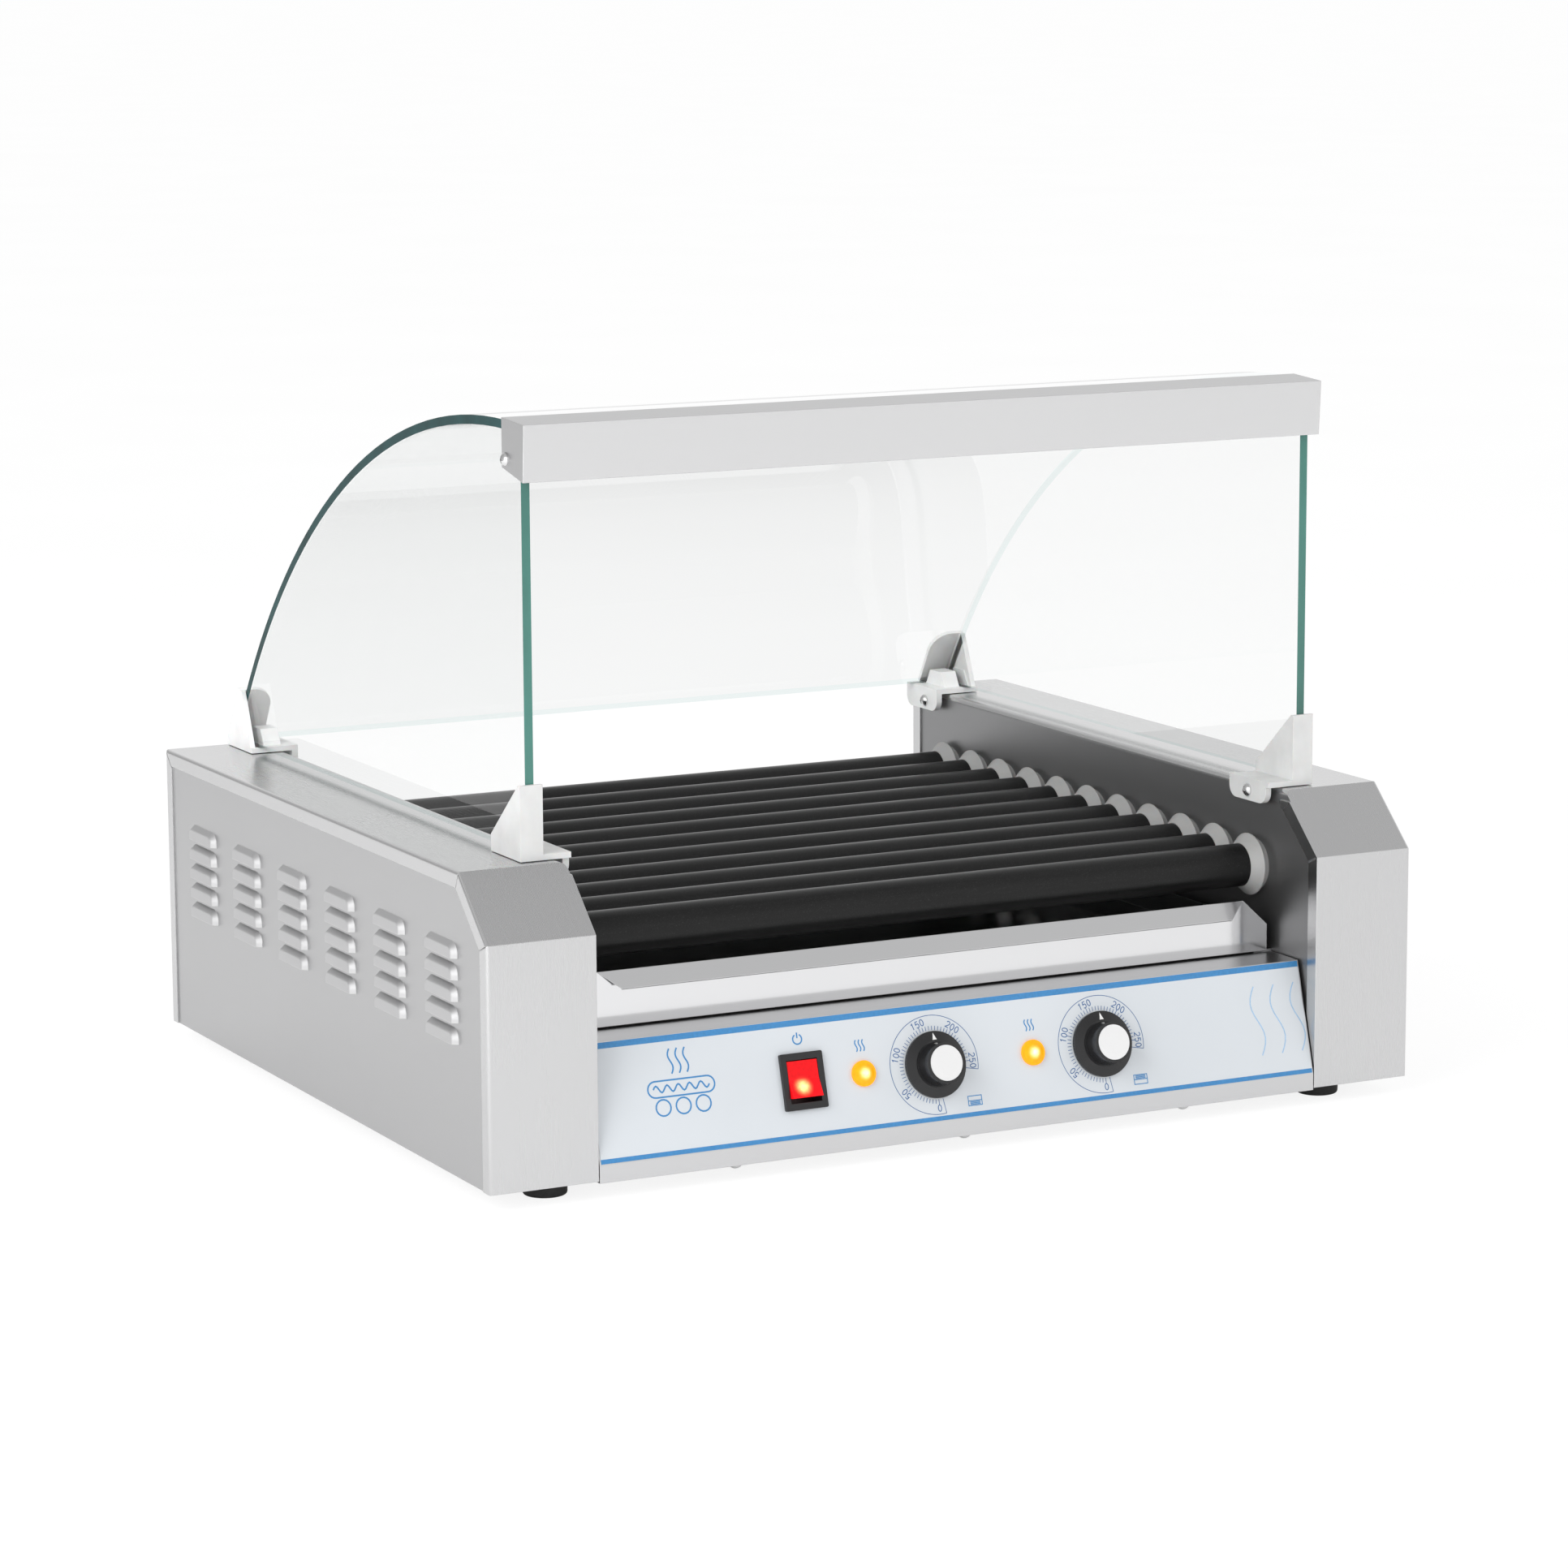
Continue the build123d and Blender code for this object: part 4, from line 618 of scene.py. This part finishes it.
def build_prints():
    """All print on the panel film, as thin raised ink."""
    blue = ink("print_blue", PRINT_BLUE)
    pale = ink("print_pale_blue", PALE_PRINT_BLUE)
    half = (film_high.x - film_low.x) / 2

    bm = bmesh.new()
    add_strokes(bm, panel_face, [[(-half, TOP_STRIPE), (half, TOP_STRIPE)]], TOP_STRIPE_WIDTH)
    add_strokes(bm, panel_face, [[(-half, BOTTOM_STRIPE), (half, BOTTOM_STRIPE)]], BOTTOM_STRIPE_WIDTH)
    finish_print(bm, "print_stripes", blue)

    bm = bmesh.new()
    for face in dial_faces:
        fine, numbers = dial_strokes()
        add_strokes(bm, face, fine, FINE_LINE)
        add_strokes(bm, face, numbers, NUMERAL_LINE)
    finish_print(bm, "print_dials", ink("print_scale_blue", SCALE_BLUE))

    bm = bmesh.new()
    switch_x = sum(p.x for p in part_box("switch_housing")) / 2
    add_strokes(bm, panel_face, turned(power_sign(SMALL_SIGN_SIZE), 0, switch_x, POWER_SIGN), 0.8 * MM)
    lamp_low, lamp_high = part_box("heat_lamps")
    for x in (lamp_low.x + LAMP_RADIUS, lamp_high.x - LAMP_RADIUS):
        add_strokes(bm, panel_face, turned(heat_waves(SMALL_SIGN_SIZE), 0, x, LAMP_SIGN), 0.7 * MM)
    for face, front in zip(dial_faces, (True, False)):
        add_strokes(bm, face, turned(zone_sign(ZONE_SIGN_SIZE, front), 0, *ZONE_SIGN), 0.5 * MM)
    add_strokes(bm, panel_face, turned(sausage_sign(PICTOGRAM_SIZE), 0, *PICTOGRAM), 0.9 * MM)
    finish_print(bm, "print_signs", blue)

    bm = bmesh.new()
    add_strokes(bm, panel_face, turned(heat_waves(PALE_WAVES_SIZE), 0, *PALE_WAVES), 0.7 * MM)
    finish_print(bm, "print_pale_waves", pale)


def finish_print(bm, name, material):
    """Turn the strokes into a piece on the panel film."""
    bmesh.ops.recalc_face_normals(bm, faces=bm.faces)
    mesh = bpy.data.meshes.new(name)
    bm.to_mesh(mesh)
    bm.free()
    add_piece(name, mesh, material, "base", smooth=False)


# ---- knob pointers ----
POINTER_TIP = 17.6 * MM
POINTER_BASE = 13.6 * MM
POINTER_WIDTH = 2.3 * MM
POINTER_ROOT = 2.0 * MM           # heights above the panel face
POINTER_TIP_HEIGHT = 2.95 * MM
POINTER_BASE_HEIGHT = 4.75 * MM
POINTER_PROUD = 0.12 * MM


def build_pointers():
    """White triangle moulded into each knob's skirt, pointing at the scale."""
    white = moulded_plastic("pointer_white", (0.85, 0.85, 0.84), 0.35)
    for body, joint in (("front_dial", dial_joints[0]), ("back_dial", dial_joints[1])):
        face = Face(joint["pos_m"], (1, 0, 0), panel_normal)
        bm = bmesh.new()
        outline = [
            (0, POINTER_TIP, POINTER_TIP_HEIGHT),
            (-POINTER_WIDTH / 2, POINTER_BASE, POINTER_BASE_HEIGHT),
            (POINTER_WIDTH / 2, POINTER_BASE, POINTER_BASE_HEIGHT),
        ]
        top = [bm.verts.new(face.point(x, y, h + POINTER_PROUD)) for x, y, h in outline]
        bottom = [bm.verts.new(face.point(x, y, POINTER_ROOT)) for x, y, h in outline]
        bm.faces.new(top)
        bm.faces.new(list(reversed(bottom)))
        for i in range(3):
            k = (i + 1) % 3
            bm.faces.new((bottom[i], bottom[k], top[k], top[i]))
        bmesh.ops.recalc_face_normals(bm, faces=bm.faces)
        mesh = bpy.data.meshes.new(body + "_pointer")
        bm.to_mesh(mesh)
        bm.free()
        add_piece(body + "_pointer", mesh, white, body, smooth=False)


# ---- glass: green edges on the CAD sheets ----
def dress_glass():
    """Clear faces and green edges, told apart by the direction of each face."""
    clear = glass_face()
    teal = glass_edge("glass_edge_teal", GLASS_TEAL, 0.6)
    shaded_edge = glass_edge("glass_edge_shaded", GLASS_SHADED_EDGE, 0.0)
    panes = ("left_glass_pane", "right_glass_pane")
    dress(clear, "curved_glass", *panes)
    # a pane's arch edge lies against the curved sheet and hardly shows, so it stays clear
    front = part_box("left_glass_pane")[0].y + 1 * MM
    redress(teal, panes, lambda p: abs(p.normal.x) < 0.7 and (p.center.y < front or p.normal.z < -0.7))

    def on_edge(polygon):
        outward = Vector((0, polygon.center.y - ARCH_Y, polygon.center.z - ARCH_Z)).normalized()
        return abs(polygon.normal.dot(outward)) <= 0.7

    # painted shade: the curved sheet's edges facing -X get a darker copy of the green edge
    redress(shaded_edge, ("curved_glass",), lambda p: on_edge(p) and p.normal.x < -0.7)
    redress(teal, ("curved_glass",), lambda p: on_edge(p) and p.normal.x >= -0.7)


# ---- materials of the carried-over CAD nodes ----
WRAP_GRAIN = (2600.0, 14.0, 14.0)      # streaks follow the casing's front, chamfer and top
LENGTH_GRAIN = (10.0, 2200.0, 2200.0)   # streaks along X
SIDE_GRAIN = (2200.0, 10.0, 2200.0)     # streaks along Y
SMALL_GRAIN = (300.0, 300.0, 300.0)     # no direction


def dress_steel():
    """Stainless sheet, drive parts and fasteners."""
    dress(grained_steel("casing_steel", STEEL, WRAP_GRAIN, 0.26), "left_casing_shell", "right_casing_shell",
          "rear_panel")
    # the set-back wall behind the inner flanges, in painted shade: a darker copy of the casing steel
    wall_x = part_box("control_panel")[1].x + INNER_WALL_BEHIND
    redress(
        grained_steel("inner_wall_shaded_steel", SHADED_INNER_STEEL, SIDE_GRAIN, 0.44),
        ("left_casing_shell", "right_casing_shell"),
        lambda p: abs(p.normal.x) > 0.95 and abs(abs(p.center.x) - wall_x) < 0.3 * MM,
    )
    side_panels = ("left_louvre_panel", "right_louvre_panel")
    # painted shade: the side panels get a darker copy of the casing steel
    dress(grained_steel("side_shaded_steel", SHADED_SIDE_STEEL, SIDE_GRAIN, 0.30), *side_panels)
    # the hoods, dulled by the press
    face_x = max(v.co.x for v in nodes["right_louvre_panel"].data.vertices) - LOUVRE_PROUD
    redress(
        grained_steel("pressed_steel", STEEL, SIDE_GRAIN, 0.55),
        side_panels,
        lambda p: abs(p.center.x) > face_x + 0.2 * MM,
    )
    dress(grained_steel("base_steel", STEEL, SIDE_GRAIN, 0.4), "base_plate")
    dress(grained_steel("fascia_steel", STEEL, LENGTH_GRAIN, 0.28), "control_panel", "tray_rails",
          "element_holders", "motor_bracket")
    dress(grained_steel("tray_steel", TRAY_STEEL, LENGTH_GRAIN, 0.10), "drip_tray")
    dress(grained_steel("bar_steel", BAR_STEEL, LENGTH_GRAIN, 0.34), "front_bar")
    # painted shade: the bar's end and top faces get a darker copy of its steel
    redress(
        grained_steel("bar_shaded_face_steel", BAR_SHADED_FACE_STEEL, LENGTH_GRAIN, 0.34),
        ("front_bar",),
        lambda p: abs(p.normal.x) > 0.9 or p.normal.z > 0.9,
    )
    dress(grained_steel("screw_steel", SCREW_STEEL, SMALL_GRAIN, 0.2, edge=0.0002),
          "base_screws", "bar_screws", "bracket_screws")
    dress(grained_steel("drive_steel", DRIVE_STEEL, (400.0, 400.0, 400.0), 0.35, 0.2), "drive_chain",
          "motor_sprocket", *[n for n in nodes if n.endswith("_sprocket") and n.startswith("roller_")])
    dress(grained_steel("element_sheath", (0.25, 0.2, 0.16), (8.0, 300.0, 300.0), 0.4, 0.2),
          "heating_elements")
    dress(grained_steel("thermostat_case", ZINC, SIDE_GRAIN, 0.4), "front_thermostat", "back_thermostat")
    dress(grained_steel("motor_case", (0.12, 0.125, 0.13), (200.0, 200.0, 200.0), 0.5, 0.08), "gear_motor")


def dress_plastics():
    """Moulded plastics, rubber, the printed film and the rollers' coating."""
    dress(moulded_plastic("bracket_plastic", BRACKET_GREY, 0.38, subsurface=0.1), "front_brackets")
    # painted light: the rear brackets, in shade behind the glass, get a lighter copy of the bracket plastic
    dress(moulded_plastic("rear_bracket_lit_plastic", REAR_BRACKET_LIT_GREY, 0.38, subsurface=0.1), "rear_brackets")
    dress(moulded_plastic("bushing_plastic", BUSHING_GREY, 0.42, subsurface=0.1), "roller_bushings")
    dress(moulded_plastic("black_plastic", PLASTIC_BLACK, 0.35), "switch_housing", "terminal_block")
    dress(moulded_plastic("knob_plastic", PLASTIC_BLACK, 0.16, bump=0.05), "front_knob", "back_knob")
    dress(moulded_plastic("foot_rubber", (0.012, 0.012, 0.012), 0.7), "rubber_feet")
    dress(moulded_plastic("cord_rubber", (0.012, 0.012, 0.012), 0.55), "power_cord")
    dress(printed_film(), "panel_overlay")
    dress(roller_coating(), *[n for n in nodes if n.startswith("roller_") and n[7:].isdigit()])


def dress_lights():
    """Lit lamp lenses and rocker, and the knobs' spun caps."""
    low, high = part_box("heat_lamps")
    row = dial_joints[0]["pos_m"]
    spots = []
    for x in (low.x + LAMP_RADIUS, high.x - LAMP_RADIUS):
        spots.append(Vector((x, row[1], row[2])) + panel_normal * 3 * MM)
    dress(lit_lens("lamp_lens", LAMP_AMBER, (1.0, 0.92, 0.60), spots, 4.8 * MM, 1.3), "heat_lamps")
    low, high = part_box("rocker_key")
    middle = (low + high) / 2
    hot = middle + Vector((-1.5 * MM, 0, -4.0 * MM)) + panel_normal * 6 * MM
    # painted shade: the rocker's upper half, which faces away, has its glow cut
    dress(lit_lens("rocker_red", ROCKER_RED, (1.0, 0.92, 0.32), [hot], 7.0 * MM, 1.9, middle), "rocker_key")
    centres = [Vector(j["pos_m"]) + panel_normal * CAP_HEIGHT for j in dial_joints]
    dress(spun_aluminium("cap_aluminium", centres, CAP_RADIUS), "front_knob_cap", "back_knob_cap")


# ---- studio ----
FLOOR_RADIUS = 60.0


def build_floor():
    """Plain pale floor disc."""
    s = Shader("floor_pale")
    grain = s.noise(s.place(), 3.0, 2.0)
    even = s.spread(grain, 0.995, 1.005)
    # seen directly the floor fades to white; what the machine mirrors is a plain pale floor
    seen = s.add("ShaderNodeLightPath").outputs["Is Camera Ray"]
    diffuse = s.add("ShaderNodeBsdfDiffuse", {"Color": s.tinted((1, 1, 1), s.spread(seen, 0.93, 0.20, 0, 1))})
    lift = s.add(
        "ShaderNodeEmission",
        {"Color": s.tinted((1, 1, 1), even), "Strength": s.spread(seen, 0.14, 0.85, 0, 1)},
    )
    surface = s.add("ShaderNodeAddShader", {0: diffuse.outputs[0], 1: lift.outputs[0]})
    bm = bmesh.new()
    bmesh.ops.create_circle(bm, cap_ends=True, segments=96, radius=FLOOR_RADIUS)
    mesh = bpy.data.meshes.new("floor")
    bm.to_mesh(mesh)
    bm.free()
    mesh.materials.append(s.finish(surface.outputs[0]))
    floor = bpy.data.objects.new("floor", mesh)
    bpy.context.scene.collection.objects.link(floor)


SKY_STOPS = ((0.0, 1.0), (0.35, 0.98), (0.75, 0.64), (1.0, 0.55))   # (height of the direction, grey)
DIM_DIRECTION = (-0.7071, 0.7071, 0)
DIM_RANGE = (0.5, 0.9)      # cosine of the angle from that direction
DIM_TO = 0.53


def build_sky():
    """Even pale surroundings, darker overhead and behind to the left; plain white where seen directly."""
    world = bpy.data.worlds.new("studio")
    bpy.context.scene.world = world
    world.use_nodes = True
    tree = world.node_tree
    tree.nodes.clear()
    coord = tree.nodes.new("ShaderNodeTexCoord")
    split = tree.nodes.new("ShaderNodeSeparateXYZ")
    ramp = tree.nodes.new("ShaderNodeValToRGB")
    behind = tree.nodes.new("ShaderNodeVectorMath")
    dim = tree.nodes.new("ShaderNodeMapRange")
    background = tree.nodes.new("ShaderNodeBackground")
    white = tree.nodes.new("ShaderNodeBackground")
    seen = tree.nodes.new("ShaderNodeLightPath")
    choice = tree.nodes.new("ShaderNodeMixShader")
    output = tree.nodes.new("ShaderNodeOutputWorld")
    tree.links.new(coord.outputs["Generated"], split.inputs[0])
    tree.links.new(split.outputs["Z"], ramp.inputs[0])
    tree.links.new(ramp.outputs[0], background.inputs["Color"])
    behind.operation = "DOT_PRODUCT"
    tree.links.new(coord.outputs["Generated"], behind.inputs[0])
    behind.inputs[1].default_value = DIM_DIRECTION
    tree.links.new(behind.outputs["Value"], dim.inputs["Value"])
    dim.interpolation_type = "SMOOTHSTEP"
    dim.inputs["From Min"].default_value = DIM_RANGE[0]
    dim.inputs["From Max"].default_value = DIM_RANGE[1]
    dim.inputs["To Min"].default_value = 1.0
    dim.inputs["To Max"].default_value = DIM_TO
    tree.links.new(dim.outputs["Result"], background.inputs["Strength"])
    white.inputs["Color"].default_value = (1, 1, 1, 1)
    tree.links.new(seen.outputs["Is Camera Ray"], choice.inputs[0])
    tree.links.new(background.outputs[0], choice.inputs[1])
    tree.links.new(white.outputs[0], choice.inputs[2])
    tree.links.new(choice.outputs[0], output.inputs[0])
    stops = ramp.color_ramp.elements
    for position, value in SKY_STOPS:
        # the ramp starts with a stop at each end
        stop = stops[-int(position)] if position in (0, 1) else stops.new(position)
        stop.color = (value, value, value, 1)


def add_softbox(name, place, target, size, power, mirrored):
    """Rectangular area light; the steel shows it only where mirrored is true."""
    light = bpy.data.lights.new(name, "AREA")
    light.shape = "RECTANGLE"
    light.size, light.size_y = size
    light.energy = power
    lamp = bpy.data.objects.new(name, light)
    lamp.location = place
    lamp.rotation_euler = (Vector(target) - Vector(place)).to_track_quat("-Z", "Y").to_euler()
    lamp.visible_glossy = mirrored
    bpy.context.scene.collection.objects.link(lamp)


CAMERA_PLACE = (-1.3137, -2.5828, 0.6798)
CAMERA_YAW = 27.107       # degrees to the right of looking along +Y
CAMERA_PITCH = -9.993
CAMERA_ROLL = -0.282
CAMERA_LENS = 114.38      # mm on a 36 mm wide sensor


def build_camera():
    """The viewpoint, as measured for this view of the machine."""
    data = bpy.data.cameras.new("camera")
    data.lens = CAMERA_LENS
    data.sensor_width = 36.0
    camera = bpy.data.objects.new("camera", data)
    level = Matrix.Rotation(radians(90 + CAMERA_PITCH), 4, "X")
    turn = Matrix.Rotation(radians(-CAMERA_YAW), 4, "Z")
    roll = Matrix.Rotation(radians(CAMERA_ROLL), 4, "Z")
    camera.matrix_world = Matrix.Translation(CAMERA_PLACE) @ turn @ level @ roll
    bpy.context.scene.collection.objects.link(camera)
    bpy.context.scene.camera = camera


dress_steel()
dress_plastics()
dress_lights()
dress_glass()
build_prints()
build_pointers()
build_floor()
build_sky()
add_softbox("key", (-2.2, -0.8, 1.9), (0, 0, 0.2), (1.8, 1.2), 30, False)
add_softbox("low_left", (-2.0, -1.25, 0.8), (-0.3, 0, 0.15), (1.5, 1.4), 14, True)
add_softbox("fill", (2.0, -1.8, 1.6), (0, 0, 0.2), (1.6, 1.6), 8, False)
build_camera()
bpy.context.scene.view_settings.view_transform = "Standard"
